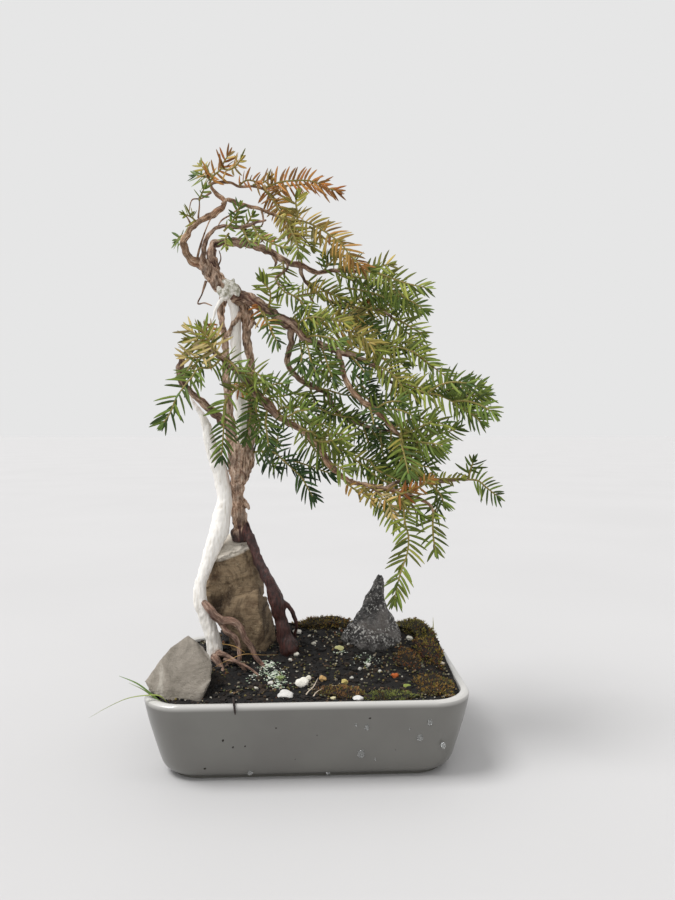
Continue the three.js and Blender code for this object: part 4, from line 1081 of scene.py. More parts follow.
SPRAYS = {  # node: slot, then shoots of needle length, autumn at foot and tip, and points
    "apex_spray": ("orange_leaf", [
        (9, (0.7, 0.98), [(-67, 8, 379), (-64, 5, 383), (-59, 2, 386), (-56, 0, 391), (-53, -2, 394)]),
        (8, (0.75, 0.55), [(-58, 2, 387), (-52, -4, 384), (-47, -9, 385), (-44, -13, 387)]),
        (7, (0.7, 0.45), [(-64, 5, 383), (-69, 8, 387), (-73, 11, 392)]),
        (8, (0.5, 0.15), [(-64, 5, 383), (-70, 10, 384), (-77, 15, 387)]),
        (8, (0.85, 0.75), [(-48, 13, 379), (-42, 9, 382), (-35, 6, 380)]),
        (8, (0.45, 0.35), [(-75, 3, 351), (-78, -2, 353), (-81, -7, 353)]),
        (8, (0.3, 0.2), [(-82, 4, 342), (-87, 8, 343), (-90, 12, 341)]),
        (6, (0.3, 0.25), [(-73, 1, 365), (-71, -2, 368), (-69, -4, 371)]),
    ]),
    "crown_tip_spray": ("orange_leaf", [
        (10, (0.7, 0.85), [
            (-30, 17, 379), (-21, 20, 382), (-10, 23, 384), (0, 26, 386), (10, 28, 385), (20, 29, 383)
        ]),
        (10, (0.75, 0.85), [(-29, 17, 380), (-20, 15, 383), (-10, 14, 384), (0, 16, 385), (9, 19, 384)]),
        (8, (0.7, 0.6), [(-38, 15, 381), (-32, 12, 381), (-27, 9, 383)]),
    ]),
    "crown_inner_spray": ("orange_leaf", [
        (10, (0.8, 0.55), [(-31, 17, 379), (-25, 12, 371), (-20, 8, 362), (-14, 5, 353), (-9, 2, 342)]),
        (9, (0.75, 0.5), [(-29, 14, 377), (-22, 13, 370), (-17, 13, 361), (-12, 12, 352)]),
        (9, (0.6, 0.4), [(-14, 5, 353), (-9, 0, 346), (-3, -4, 340), (2, -6, 333)]),
    ]),
    "crown_middle_spray": ("orange_leaf", [
        (10, (0.5, 0.72), [
            (-21, -1, 355), (-13, -5, 351), (-3, -9, 349), (7, -12, 344), (15, -15, 338), (22, -17, 332),
            (28, -18, 324), (35, -18, 318)
        ]),
        (9, (0.55, 0.45), [(-7, -7, 350), (-7, -10, 355), (-8, -12, 360), (-7, -13, 364)]),
        (9, (0.45, 0.62), [(1, -8, 346), (8, -7, 341), (15, -7, 335), (22, -8, 328), (28, -9, 321)]),
        (10, (0.5, 0.35), [(-13, -5, 351), (-11, -8, 343), (-8, -11, 336), (-6, -13, 328)]),
    ]),
    "upper_end_spray": ("green_leaf", [
        (10, (0.4, 0.28), [
            (37, 0, 319), (45, -3, 317), (53, -6, 314), (62, -9, 310), (70, -12, 307), (78, -14, 305)
        ]),
        (10, (0.3, 0.22), [(51, -5, 314), (58, -1, 309), (65, 3, 303), (73, 6, 299), (80, 8, 295)]),
        (9, (0.35, 0.3), [(20, 3, 320), (27, -3, 322), (35, -8, 320), (42, -11, 316)]),
        (10, (0.3, 0.25), [(29, 4, 316), (39, 5, 315), (50, 6, 313), (58, 7, 308), (65, 8, 301)]),
        (9, (0.45, 0.4), [(43, -2, 319), (49, -4, 321), (54, -6, 322)]),
    ]),
    "upper_back_spray": ("green_leaf", [
        (10, (0.35, 0.25), [
            (17, 4, 320), (24, 12, 318), (35, 18, 315), (46, 23, 312), (56, 27, 309), (67, 30, 305)
        ]),
        (8, (0.2, 0.15), [(10, 6, 319), (14, 1, 323), (18, -3, 327)]),
        (10, (0.25, 0.2), [(26, 14, 310), (37, 15, 309), (47, 17, 307), (57, 18, 303)]),
        (7, (0.3, 0.3), [(12, 6, 321), (13, 3, 325), (12, 0, 329)]),
        (6, (0.3, 0.25), [(-55, -12, 341), (-50, -16, 345), (-46, -19, 349)]),
        (6, (0.25, 0.3), [(-43, -15, 343), (-40, -19, 336), (-37, -23, 330)]),
        (5.5, (0.35, 0.3), [(-36, -18, 343), (-31, -22, 335), (-23, -25, 330), (-14, -27, 326)]),
        (6, (0.25, 0.2), [(-47, -14, 343), (-46, -18, 349), (-44, -22, 354)]),
        (6, (0.35, 0.3), [(-44, -12, 342), (-39, -15, 346), (-36, -18, 350)]),
        (5.5, (0.3, 0.35), [(-52, -10, 340), (-54, -14, 335), (-53, -17, 330)]),
        (5.5, (0.45, 0.4), [(-42, -14, 341), (-36, -13, 338), (-30, -12, 337)]),
        (5, (0.85, 0.8), [(-30, -14, 338), (-27, -16, 335), (-24, -17, 334)]),
        (6, (0.95, 0.9), [(-35, 16, 345), (-34, 12, 348)]),
        (7, (0.95, 0.9), [(40, 34, 299), (45, 38, 303)]),
    ]),
    "inner_drooping_spray": ("green_leaf", [
        (10, (0.4, 0.2), [
            (-17, 12, 329), (-17, 5, 319), (-21, 0, 311), (-15, -4, 303), (-7, -8, 299), (-2, -11, 291),
            (1, -14, 282)
        ]),
        (10, (0.35, 0.3), [(-1, 20, 316), (7, 16, 311), (15, 13, 306), (24, 10, 302)]),
        (8, (0.5, 0.45), [(-8, 14, 304), (2, 13, 306), (12, 11, 307), (22, 10, 303)]),
        (9, (0.35, 0.3), [(-5, 4, 298), (-1, 2, 291), (3, 0, 287)]),
    ]),
    "middle_top_spray": ("green_leaf", [
        (10.5, (0.4, 0.3), [(40, 34, 299), (50, 40, 303), (62, 45, 304), (73, 49, 302), (83, 52, 300)]),
        (10, (0.3, 0.25), [(30, 32, 301), (37, 29, 306), (46, 26, 308), (55, 24, 307)]),
        (10, (0.4, 0.3), [(52, 40, 300), (60, 41, 304), (69, 43, 306), (78, 44, 304)]),
        (10, (0.5, 0.45), [(16, 30, 303), (27, 29, 300), (39, 27, 299), (50, 26, 296)]),
    ]),
    "middle_end_spray": ("green_leaf", [
        (11, (0.32, 0.3), [
            (52, 35, 299), (61, 36, 294), (68, 36, 287),
            (74, 37, 282), (80, 38, 277), (85, 39, 272)
        ]),
        (10.5, (0.3, 0.28), [(62, 34, 293), (69, 33, 290), (76, 31, 285), (83, 30, 281)]),
    ]),
    "middle_under_spray": ("green_leaf", [
        (10, (0.3, 0.2), [(28, 32, 302), (33, 38, 295), (41, 43, 290), (50, 47, 287)]),
        (10, (0.25, 0.15), [(15, 29, 304), (21, 26, 296), (29, 24, 290), (38, 23, 285)]),
        (9, (0.2, 0.15), [(27, 28, 292), (36, 25, 288), (44, 23, 284), (53, 20, 279)]),
        (9, (0.5, 0.5), [(7, 24, 292), (17, 21, 290), (27, 19, 291), (37, 16, 292)]),
        (9, (0.25, 0.2), [(32, 30, 296), (41, 32, 292), (48, 34, 288)]),
    ]),
    "main_under_spray": ("green_leaf", [
        (9, (0.25, 0.15), [(-31, -2, 294), (-28, -9, 285), (-24, -14, 276), (-20, -18, 268)]),
        (9, (0.35, 0.3), [(-27, -4, 290), (-25, -10, 297), (-25, -15, 302), (-30, -19, 307)]),
        (9, (0.3, 0.25), [(-12, 2, 287), (-5, 0, 284), (3, -2, 281), (9, -4, 277)]),
        (8, (0.4, 0.35), [(-9, 0, 280), (-1, -3, 274), (5, -6, 268)]),
        (8, (0.95, 0.98), [(-34, -3, 296), (-29, -8, 285), (-25, -12, 279)]),
    ]),
    "main_front_spray": ("green_leaf", [
        (10, (0.3, 0.18), [(-2, -10, 272), (0, -17, 264), (2, -22, 255), (6, -26, 245)]),
        (9, (0.3, 0.2), [(-2, -10, 272), (4, -19, 272), (12, -26, 270), (20, -31, 267)]),
        (9, (0.4, 0.3), [(-8, -8, 279), (-3, -15, 283), (4, -20, 284), (11, -24, 282)]),
        (9, (0.45, 0.4), [(-2, -12, 280), (7, -14, 282), (14, -16, 283), (24, -18, 281)]),
        (10, (0.2, 0.12), [(-5, -14, 267), (-4, -18, 260), (-5, -22, 252)]),
        (9, (0.35, 0.3), [(7, -14, 262), (9, -16, 255), (14, -18, 249), (17, -20, 242)]),
    ]),
    "main_middle_spray": ("green_leaf", [
        (9, (0.25, 0.12), [(9, -11, 266), (11, -18, 259), (13, -23, 252), (16, -27, 244)]),
        (9, (0.15, 0.1), [(28, -11, 260), (32, -17, 255), (37, -21, 248)]),
        (10, (0.55, 0.5), [(16, -14, 275), (24, -16, 276), (33, -18, 273), (40, -20, 268)]),
        (10, (0.12, 0.08), [(15, 2, 269), (23, 5, 264), (33, 8, 262)]),
        (9, (0.1, 0.05), [(30, 4, 251), (37, 6, 245), (44, 8, 240)]),
    ]),
    "main_fan_spray": ("lime_leaf", [
        (10.5, (0.45, 0.38), [
            (34, -11, 258), (42, -11, 254), (48, -15, 252),
            (53, -18, 249), (58, -21, 244), (62, -23, 238)
        ]),
        (12, (0.42, 0.36), [(43, -8, 268), (49, -10, 260), (55, -12, 253), (60, -14, 246), (63, -16, 240)]),
        (11, (0.5, 0.45), [(30, -6, 274), (38, -8, 270), (44, -10, 263)]),
        (11, (0.45, 0.38), [(55, -16, 246), (62, -18, 241), (69, -20, 239), (77, -22, 238)]),
    ]),
    "outer_upper_spray": ("green_leaf", [
        (10, (0.45, 0.25), [
            (24, -10, 262), (30, -7, 268), (38, -4, 271), (47, -3, 270), (57, -6, 267), (65, -9, 265),
            (73, -12, 261), (81, -15, 254), (88, -18, 248), (95, -20, 243)
        ]),
        (10, (0.3, 0.2), [(46, -3, 270), (52, -4, 264), (58, -5, 259), (64, -6, 255)]),
        (10, (0.4, 0.35), [(17, -11, 264), (23, -5, 271), (30, 0, 275), (38, 4, 274), (46, 8, 269)]),
        (10, (0.42, 0.35), [(48, -2, 265), (56, -3, 269), (64, -5, 270), (70, -6, 269)]),
        (9, (0.3, 0.25), [(70, -8, 264), (75, -11, 259), (80, -14, 254)]),
    ]),
    "outer_tip_spray": ("green_leaf", [
        (10, (0.35, 0.22), [
            (60, -14, 240), (68, -19, 238), (76, -23, 235), (85, -26, 233), (93, -28, 229), (102, -30, 223),
            (111, -31, 216)
        ]),
        (10, (0.25, 0.2), [(87, -27, 232), (97, -22, 234), (107, -18, 235), (118, -15, 235)]),
        (10, (0.3, 0.22), [(93, -28, 229), (101, -34, 229), (109, -39, 226), (115, -42, 222)]),
        (9, (0.2, 0.12), [(57, -14, 241), (60, -9, 235), (63, -5, 230)]),
        (10, (0.28, 0.2), [(78, -24, 235), (84, -30, 239), (92, -35, 241), (100, -38, 240)]),
        (10.5, (0.3, 0.25), [(86, -24, 235), (93, -25, 237), (101, -27, 238), (109, -28, 239)]),
        (10, (0.35, 0.3), [(92, -22, 231), (99, -23, 231), (107, -25, 233), (114, -26, 234)]),
        (10, (0.2, 0.15), [(95, -20, 228), (102, -19, 224), (109, -17, 221), (116, -16, 221)]),
        (10, (0.35, 0.3), [(64, -18, 237), (72, -19, 235), (80, -20, 234)]),
    ]),
    "left_lime_spray": ("lime_leaf", [
        (11, (1.2, 1.25), [
            (-55, -24, 257), (-59, -30, 261), (-64, -34, 266),
            (-69, -37, 269), (-73, -39, 272)
        ]),
        (10.5, (0.4, 0.36), [(-61, -31, 263), (-63, -36, 268), (-66, -40, 273)]),
        (10.5, (1.25, 1.2), [(-62, -23, 262), (-66, -27, 258), (-71, -31, 256), (-76, -34, 256)]),
        (10, (0.3, 0.25), [(-55, -24, 257), (-50, -30, 254), (-46, -35, 250), (-43, -38, 245)]),
        (10.5, (0.42, 0.45), [(-62, -22, 261), (-65, -25, 265), (-70, -27, 267), (-74, -30, 267)]),
        (10.5, (1.2, 1.1), [(-59, -24, 262), (-60, -27, 267), (-64, -30, 271)]),
    ]),
    "left_front_spray": ("green_leaf", [
        (11, (0.3, 0.15), [
            (-55, -24, 257), (-61, -30, 250), (-68, -35, 249), (-72, -39, 243), (-77, -42, 236),
            (-81, -44, 229), (-84, -45, 221), (-88, -45, 215)
        ]),
        (10.5, (0.25, 0.2), [(-65, -30, 258), (-70, -32, 253), (-74, -34, 247)]),
    ]),
    "trunk_front_spray": ("green_leaf", [
        (10, (0.35, 0.12), [
            (-40, -24, 242), (-46, -30, 236), (-51, -33, 230), (-53, -34, 222), (-53, -34, 212),
            (-54, -32, 202), (-55, -30, 194)
        ]),
        (10, (0.35, 0.25), [(-44, -24, 246), (-38, -30, 248), (-32, -35, 246), (-27, -38, 241)]),
        (7, (0.92, 0.98), [(-69, 4, 284), (-67, 2, 280), (-65, 0, 275)]),
        (6, (0.95, 0.9), [(-52, 6, 242), (-48, 2, 239), (-42, -2, 236)]),
    ]),
    "trunk_fern_spray": ("green_leaf", [
        (9, (0.25, 0.15), [
            (-33, -24, 234), (-37, -17, 228), (-38, -13, 219),
            (-40, -11, 211), (-42, -10, 205)
        ]),
        (9, (0.25, 0.18), [(-33, -24, 234), (-34, -17, 224), (-32, -14, 215), (-33, -13, 207)]),
    ]),
    "low_top_spray": ("green_leaf", [
        (10, (0.35, 0.25), [
            (-29, -24, 229), (-24, -17, 232), (-17, -12, 233),
            (-10, -8, 235), (-3, -4, 233)
        ]),
        (10, (0.4, 0.3), [(-44, -24, 246), (-38, -17, 247), (-32, -12, 244), (-27, -8, 241)]),
        (10, (0.3, 0.2), [(-30, -24, 230), (-27, -29, 236), (-22, -33, 239), (-16, -35, 240)]),
        (9, (0.35, 0.3), [(-38, -26, 244), (-34, -29, 238), (-32, -32, 232)]),
    ]),
    "low_middle_spray": ("green_leaf", [
        (10, (0.35, 0.25), [(-21, -24, 221), (-16, -29, 225), (-10, -33, 224), (-3, -36, 226)]),
        (10, (0.3, 0.2), [(-20, -24, 220), (-13, -32, 219), (-7, -38, 222), (1, -43, 223)]),
        (10, (0.25, 0.15), [(-26, -24, 225), (-27, -29, 216), (-26, -32, 208), (-25, -34, 200)]),
        (10, (0.3, 0.2), [(-12, -22, 217), (-4, -20, 217), (4, -18, 214), (12, -16, 215)]),
    ]),
    "dark_spray": ("dark_leaf", [
        (10, (0.12, 0.0), [
            (-39, 13, 195), (-31, 8, 196), (-23, 4, 195), (-17, 0, 190), (-10, -3, 184), (-4, -6, 178),
            (0, -8, 171), (3, -9, 166)
        ]),
        (10, (0.1, 0.03), [(-23, 4, 194), (-21, 0, 202), (-20, -4, 209)]),
        (10, (0.05, 0.0), [(-17, 0, 190), (-9, 5, 189), (0, 9, 186), (8, 12, 183), (16, 14, 180)]),
        (9, (0.1, 0.02), [(-32, 8, 196), (-28, 12, 190), (-23, 15, 185)]),
    ]),
    "low_mass_spray": ("green_leaf", [
        (10, (0.35, 0.28), [(2, -25, 205), (9, -30, 203), (16, -34, 204), (22, -38, 205)]),
        (10, (0.3, 0.25), [(-6, -24, 212), (-1, -30, 210), (5, -35, 209)]),
        (10, (0.3, 0.2), [(-3, -24, 210), (0, -19, 204), (5, -15, 197), (9, -12, 191)]),
        (10, (0.4, 0.35), [(6, -26, 204), (13, -28, 207), (20, -30, 208), (27, -32, 207)]),
        (10, (0.35, 0.3), [(1, -26, 209), (9, -25, 205), (17, -23, 200), (25, -22, 196)]),
    ]),
    "hanging_spray": ("green_leaf", [
        (10.5, (0.25, 0.15), [(6, 11, 240), (14, 5, 238), (23, 0, 235), (30, -4, 234)]),
        (10, (0.2, 0.1), [(1, 10, 241), (4, 15, 233), (5, 19, 226), (8, 23, 218)]),
        (10, (0.3, 0.2), [(-5, 7, 246), (2, 2, 250), (9, -3, 251), (16, -6, 249)]),
        (9, (0.15, 0.1), [(12, 14, 232), (19, 16, 223), (27, 18, 219)]),
        (9, (0.3, 0.25), [(7, 2, 226), (15, 0, 222), (23, -2, 220), (31, -4, 219)]),
    ]),
    "hanging_dark_spray": ("dark_leaf", [
        (10, (0.1, 0.05), [(26, 20, 219), (34, 26, 213), (43, 30, 209), (53, 34, 206)]),
        (10, (0.1, 0.02), [(52, 25, 211), (52, 20, 203), (53, 16, 194), (55, 13, 187)]),
        (9, (0.1, 0.05), [(27, 24, 219), (38, 25, 217), (49, 27, 215), (60, 28, 214)]),
        (8, (0.15, 0.1), [(39, 22, 215), (41, 20, 208), (43, 18, 201)]),
        (9, (0.15, 0.1), [(46, 24, 211), (52, 22, 202), (59, 20, 196)]),
    ]),
    "stick_spray": ("dark_leaf", [
        (9, (0.2, 0.1), [(29, -20, 236), (35, -13, 240), (42, -8, 234), (49, -4, 229)]),
        (8, (0.15, 0.05), [(39, -21, 228), (41, -26, 221), (42, -30, 214)]),
        (10, (0.3, 0.2), [(46, -21, 222), (53, -25, 224), (60, -28, 223), (67, -30, 220)]),
        (9, (0.25, 0.2), [(42, -22, 222), (48, -24, 227), (54, -26, 229), (60, -28, 229)]),
        (9, (0.15, 0.1), [(29, -18, 237), (36, -15, 234), (43, -12, 229)]),
    ]),
    "right_mass_spray": ("green_leaf", [
        (10, (0.35, 0.28), [(60, -20, 207), (67, -25, 210), (73, -30, 213), (79, -34, 216)]),
        (10, (0.3, 0.22), [(60, -20, 207), (70, -18, 207), (80, -16, 207), (91, -14, 209), (99, -13, 211)]),
        (10, (0.3, 0.25), [(62, -20, 205), (70, -27, 203), (78, -33, 202), (85, -38, 201)]),
        (10, (0.22, 0.15), [(60, -20, 207), (68, -13, 199), (77, -7, 195), (88, -3, 194)]),
        (10, (0.28, 0.2), [(60, -20, 207), (61, -28, 198), (62, -34, 191), (63, -39, 183)]),
        (10, (0.2, 0.12), [(55, -21, 212), (55, -14, 204), (58, -8, 196), (63, -3, 187), (69, 2, 180)]),
        (10.5, (0.35, 0.28), [
            (57, -22, 212), (65, -23, 217), (73, -24, 218), (81, -25, 217), (88, -26, 214)
        ]),
        (10.5, (0.3, 0.22), [(59, -20, 207), (68, -21, 204), (77, -23, 201), (85, -24, 199)]),
        (10, (0.25, 0.2), [(58, -18, 200), (64, -19, 193), (72, -21, 188), (80, -22, 186)]),
        (10, (0.22, 0.18), [(56, -12, 204), (60, -11, 196), (65, -9, 188), (69, -8, 181)]),
        (10, (0.45, 0.4), [(60, -24, 209), (62, -25, 201), (66, -27, 194), (68, -28, 186)]),
    ]),
    "bottom_spray": ("green_leaf", [
        (10.5, (0.3, 0.2), [
            (2, -25, 205), (13, -20, 202), (23, -16, 197), (33, -13, 193), (43, -11, 189), (54, -9, 185),
            (64, -8, 181)
        ]),
        (10, (0.25, 0.18), [(40, -12, 191), (46, -17, 184), (54, -21, 180), (61, -25, 177)]),
        (10, (0.35, 0.3), [(13, -27, 189), (18, -33, 188), (23, -38, 185)]),
        (10, (0.35, 0.3), [(29, -16, 192), (37, -15, 187), (47, -13, 183), (56, -12, 181)]),
        (10, (0.25, 0.2), [(42, -20, 182), (48, -21, 178), (56, -23, 175), (62, -24, 173)]),
    ]),
    "bottom_dry_spray": ("orange_leaf", [
        (6, (1.1, 1.15), [(41, -30, 175), (45, -36, 169), (50, -41, 165), (52, -45, 158)]),
        (6, (0.6, 0.55), [(34, -30, 175), (37, -34, 171), (40, -37, 166)]),
        (8, (0.9, 0.92), [(56, -33, 171), (59, -36, 170), (65, -40, 173)]),
        (6, (0.66, 0.5), [(23, -30, 178), (29, -32, 173), (35, -34, 170)]),
        (9, (0.3, 0.25), [(38, -30, 172), (44, -33, 167), (48, -36, 161)]),
        (9, (0.6, 0.4), [(48, -32, 171), (55, -34, 167), (61, -36, 165)]),
        (9, (0.4, 0.3), [(48, -34, 165), (53, -36, 158), (55, -38, 152)]),
        (5.5, (0.85, 0.7), [(66, -32, 171), (73, -33, 175), (78, -34, 179)]),
    ]),
    "long_drooping_spray": ("green_leaf", [
        (10.5, (0.35, 0.3), [
            (57, -32, 170), (60, -36, 162), (61, -39, 152), (63, -41, 143), (62, -42, 133), (59, -43, 125),
            (56, -43, 115), (54, -43, 105)
        ]),
        (10, (0.3, 0.25), [(61, -34, 166), (67, -35, 161), (71, -36, 157)]),
    ]),
    "short_drooping_spray": ("green_leaf", [
        (9, (0.35, 0.28), [(80, -34, 159), (79, -37, 151), (79, -39, 143), (80, -40, 135)]),
    ]),
    "right_under_spray": ("green_leaf", [
        (9, (0.25, 0.2), [(87, -11, 176), (85, -17, 169), (85, -22, 163), (83, -25, 157)]),
        (6, (0.5, 0.45), [(66, -20, 182), (73, -22, 180), (81, -24, 178)]),
        (9, (0.25, 0.2), [(81, -22, 174), (86, -24, 169), (88, -26, 164)]),
    ]),
    "right_tip_spray": ("green_leaf", [
        (10, (0.3, 0.15), [(107, -7, 177), (116, -4, 176), (123, -1, 171), (131, 2, 165)]),
        (9, (0.3, 0.2), [(109, -7, 177), (109, -12, 184), (110, -16, 189)]),
        (5, (0.5, 0.4), [(75, -14, 179), (84, -13, 178), (94, -11, 178), (104, -10, 178)]),
    ]),
}

for n, (node, (slot, shoots)) in enumerate(SPRAYS.items()):
    rng = random.Random(LEAF_SEED + n)
    points, faces, finishes, colours, grain = [], [], [], [], []
    for k, (length, autumn, route) in enumerate(shoots):
        stem_route = [(*p, SHOOT_RADIUS * (1 - 0.5 * i / len(route))) for i, p in enumerate(route)]
        stem, stem_sides, lengthwise = tube(stem_route, 2.5, 6, 0.1, k)
        faces += [tuple(i + len(points) for i in face) for face in stem_sides]
        points += stem
        finishes += [1] * len(stem_sides)
        grain += lengthwise
        colours += [(0, 1, 0, 0)] * len(stem)
        leaves, leaf_faces, leaf_colours = leafy_shoot(length, autumn, route, rng)
        faces += [tuple(i + len(points) for i in face) for face in leaf_faces]
        points += [p / 1000 for p in leaves]
        finishes += [0] * len(leaf_faces)
        grain += [(0, 0, 0)] * len(leaves)
        colours += leaf_colours
    spray = new_piece(node.replace("_spray", "_leaves"), points, faces, needle_finish)
    spray.data.materials.append(stem_finish)
    spray.data.polygons.foreach_set("material_index", finishes)
    carry(spray, "leaf", colours)
    carry(spray, "grain", grain, "FLOAT_VECTOR")
    bpy.ops.object.shade_smooth_by_angle(angle=math.radians(50))
    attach(spray, "root")
    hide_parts(node)


# The soil is dark grit and loam, raked low behind the front rim and heaped up to the stones.
# Its skin is a fine lumpy sheet that fits the pot's inside, and loose grains lie all over it.
SOIL_AT_FRONT = 47.0  # this and the next three are millimetres
SOIL_MOUND = 17.0
SOIL_INSET = 5.4
SOIL_CORNER = 22.0
SOIL_FLOOR = 0.014
SOIL_CELLS = (150, 104)


def ease(value, low, high):
    """A soft step from 0 at the low value to 1 at the high one."""
    t = share((value - low) / (high - low))
    return t * t * (3 - 2 * t)


def soil_height(x, y):
    """Height of the soil over a point of the pot, all in millimetres.

    It climbs from the front rim and the left to the stones and sinks again behind them and on
    the right. Clods 9 mm and crumbs 3 mm wide roughen it.
    """
    back = ease(y, -56, 40) * (1 - 0.75 * ease(y, 46, 58))
    side = ease(x, -92, -50) * (1 - 0.35 * ease(x, 72, 95))
    clods = lump(x / 9, y / 9, 0.5) * 1.1 + lump(x / 3, y / 3, 4.5) * 0.6
    return SOIL_AT_FRONT + SOIL_MOUND * back * side + clods


bpy.ops.object.select_all(action="DESELECT")
bpy.ops.mesh.primitive_grid_add(x_subdivisions=SOIL_CELLS[0], y_subdivisions=SOIL_CELLS[1], size=2)
soil = bpy.context.object
soil.name = "lumpy_soil"
half_x, half_y = pot_size.x * 500 - SOIL_INSET, pot_size.y * 500 - SOIL_INSET
corner = np.array((half_x - SOIL_CORNER, half_y - SOIL_CORNER))
for v in soil.data.vertices:
    out = max(abs(v.co.x), abs(v.co.y), 1e-6)
    edge = np.array((v.co.x / out * half_x, v.co.y / out * half_y))
    past = np.abs(edge) - corner
    if past.min() > 0:
        rounded = corner + past * SOIL_CORNER / np.linalg.norm(past)
        edge = np.sign(edge) * rounded
    x, y = edge * out
    v.co = Vector((x, y, soil_height(x, y))) / 1000
bpy.ops.object.mode_set(mode="EDIT")
bpy.ops.mesh.select_mode(type="EDGE")
bpy.ops.mesh.select_all(action="DESELECT")
bpy.ops.mesh.select_non_manifold()
# The root ball's sides lean in a little, down to a flat bottom.
bpy.ops.mesh.extrude_region_move(TRANSFORM_OT_translate={"value": (0, 0, -0.02)})
bpy.ops.transform.resize(value=(0.9, 0.83, 0), center_override=(0, 0, SOIL_FLOOR))
bpy.ops.mesh.edge_face_add()
close_with_faces_out()
bpy.ops.object.shade_smooth_by_angle(angle=math.radians(60))

# Damp loam: nearly black and quite matt, with browner clods of 11 mm where it dries. Its
# crumbs are drawn 1.1 mm wide, coarser than the finest real ones, so that they show.
loam, tree, shader = new_finish("damp dark loam", Roughness=0.9)
place = add_node(tree, "ShaderNodeTexCoord", {}).outputs["Object"]
damp = add_node(
    tree, "ShaderNodeTexNoise", {"Vector": place, "Scale": 90.0, "Detail": 8.0, "Roughness": 0.7}
)
earth = add_node(
    tree, "ShaderNodeValToRGB", {"Fac": damp},
    stops=[(0.3, "#060504"), (0.5, "#0f0c0a"), (0.64, "#211912"), (0.82, "#3d2f21")],
)
crumb = add_node(
    tree, "ShaderNodeTexNoise", {"Vector": place, "Scale": 900.0, "Detail": 6.0, "Roughness": 0.75}
)
relief = add_node(tree, "ShaderNodeBump", {"Height": crumb, "Strength": 1.0, "Distance": 0.0015})
tree.links.new(earth.outputs["Color"], shader.inputs["Base Color"])
tree.links.new(relief.outputs["Normal"], shader.inputs["Normal"])
soil.data.materials.append(loam)
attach(soil, "root")
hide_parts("soil")


# Loose grit on the soil: crumbs of loam and bark, dark lava and a few pale grains, each a
# small rough stone that is turned, squashed and half pressed in.
GRIT_COUNT = 5200
GRIT_COLOURS = (  # each with its share
    ("#090706", 34), ("#130e0b", 26), ("#241a12", 16), ("#1d1e20", 7), ("#443322", 9), ("#66503a", 5),
    ("#7d7566", 3), ("#b9b4a6", 1.0), ("#6a4028", 1.2),
)
CHAFF_COLOURS = (
    "#5f5b33", "#7d7040", "#54402c", "#686b54", "#50562f", "#8d8368", "#776343", "#a39c86",
)
CLOD_COLOURS = ("#090706", "#120d0a", "#1d1510", "#33271b")
CLOD_SHARE = 0.09
GRIT_SEED = 7


def rough_pebble(detail, seed):
    """Points and faces of a unit pebble, an icosphere that is pushed about by noise."""
    bpy.ops.object.select_all(action="DESELECT")
    bpy.ops.mesh.primitive_ico_sphere_add(subdivisions=detail, radius=1)
    ball = bpy.context.object
    points = []
    for v in ball.data.vertices:
        push = 1 + 0.42 * noise.noise(v.co * 1.4 + Vector((seed, 0, 0)))
        points.append(tuple(v.co * push))
    faces = [tuple(p.vertices) for p in ball.data.polygons]
    bpy.data.objects.remove(ball)
    return np.array(points), faces


def turned(points, rng):
    """The points turned at random, about all three axes."""
    a, b, c = (rng.uniform(0, 2 * math.pi) for _ in range(3))
    about_z = np.array([(math.cos(a), -math.sin(a), 0), (math.sin(a), math.cos(a), 0), (0, 0, 1)])
    about_x = np.array([(1, 0, 0), (0, math.cos(b), -math.sin(b)), (0, math.sin(b), math.cos(b))])
    again = np.array([(math.cos(c), -math.sin(c), 0), (math.sin(c), math.cos(c), 0), (0, 0, 1)])
    return points @ (about_z @ about_x @ again).T


def scatter(name, spots, shapes, finish, rng):
    """One piece from many copies: each spot is x, y, z, three sizes and a colour."""
    points, faces, colours = [], [], []
    for x, y, z, sizes, colour in spots:
        shape, sides = rng.choice(shapes)
        put = turned(shape, rng) * sizes + (x, y, z)
        faces += [tuple(i + len(points) for i in face) for face in sides]
        points += list(put / 1000)
        colours += [hex_colour(colour)] * len(put)
    piece = new_piece(name, points, faces, finish)
    carry(piece, "tint", colours)
    bpy.ops.object.shade_smooth_by_angle(angle=math.radians(40))
    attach(piece, "root")
    return piece


def tinted_finish(name, roughness, bump, grain):
    """A matt natural surface in each copy's colour, darkened in its fine pits as painted shade.

    The pits are 1000 / grain mm wide, and the bump is how strongly they show.
    """
    finish, tree, shader = new_finish(name, Roughness=roughness)
    own = add_node(tree, "ShaderNodeAttribute", {}, attribute_name="tint")
    place = add_node(tree, "ShaderNodeTexCoord", {}).outputs["Object"]
    pits = add_node(tree, "ShaderNodeTexNoise", {"Vector": place, "Scale": grain, "Detail": 4.0})
    # Painted shade: the colour darkens where the pits sink, with the same noise as the bump.
    level = add_node(tree, "ShaderNodeMapRange", {"Value": pits, "To Min": 0.6, "To Max": 1.3})
    shaded = add_node(
        tree, "ShaderNodeVectorMath", {0: own.outputs["Color"], "Scale": level}, operation="SCALE"
    )
    relief = add_node(tree, "ShaderNodeBump", {"Height": pits, "Strength": bump, "Distance": 0.0005})
    tree.links.new(shaded.outputs["Vector"], shader.inputs["Base Color"])
    tree.links.new(relief.outputs["Normal"], shader.inputs["Normal"])
    return finish


def inside_pot(x, y, margin):
    """Whether a point of the soil is at least this margin inside its rounded corners."""
    past = np.maximum(np.abs((x, y)) - corner, 0)
    return np.linalg.norm(past) < SOIL_CORNER - margin


rng = random.Random(GRIT_SEED)
pebbles = [rough_pebble(1, 2.3 * k) for k in range(6)]
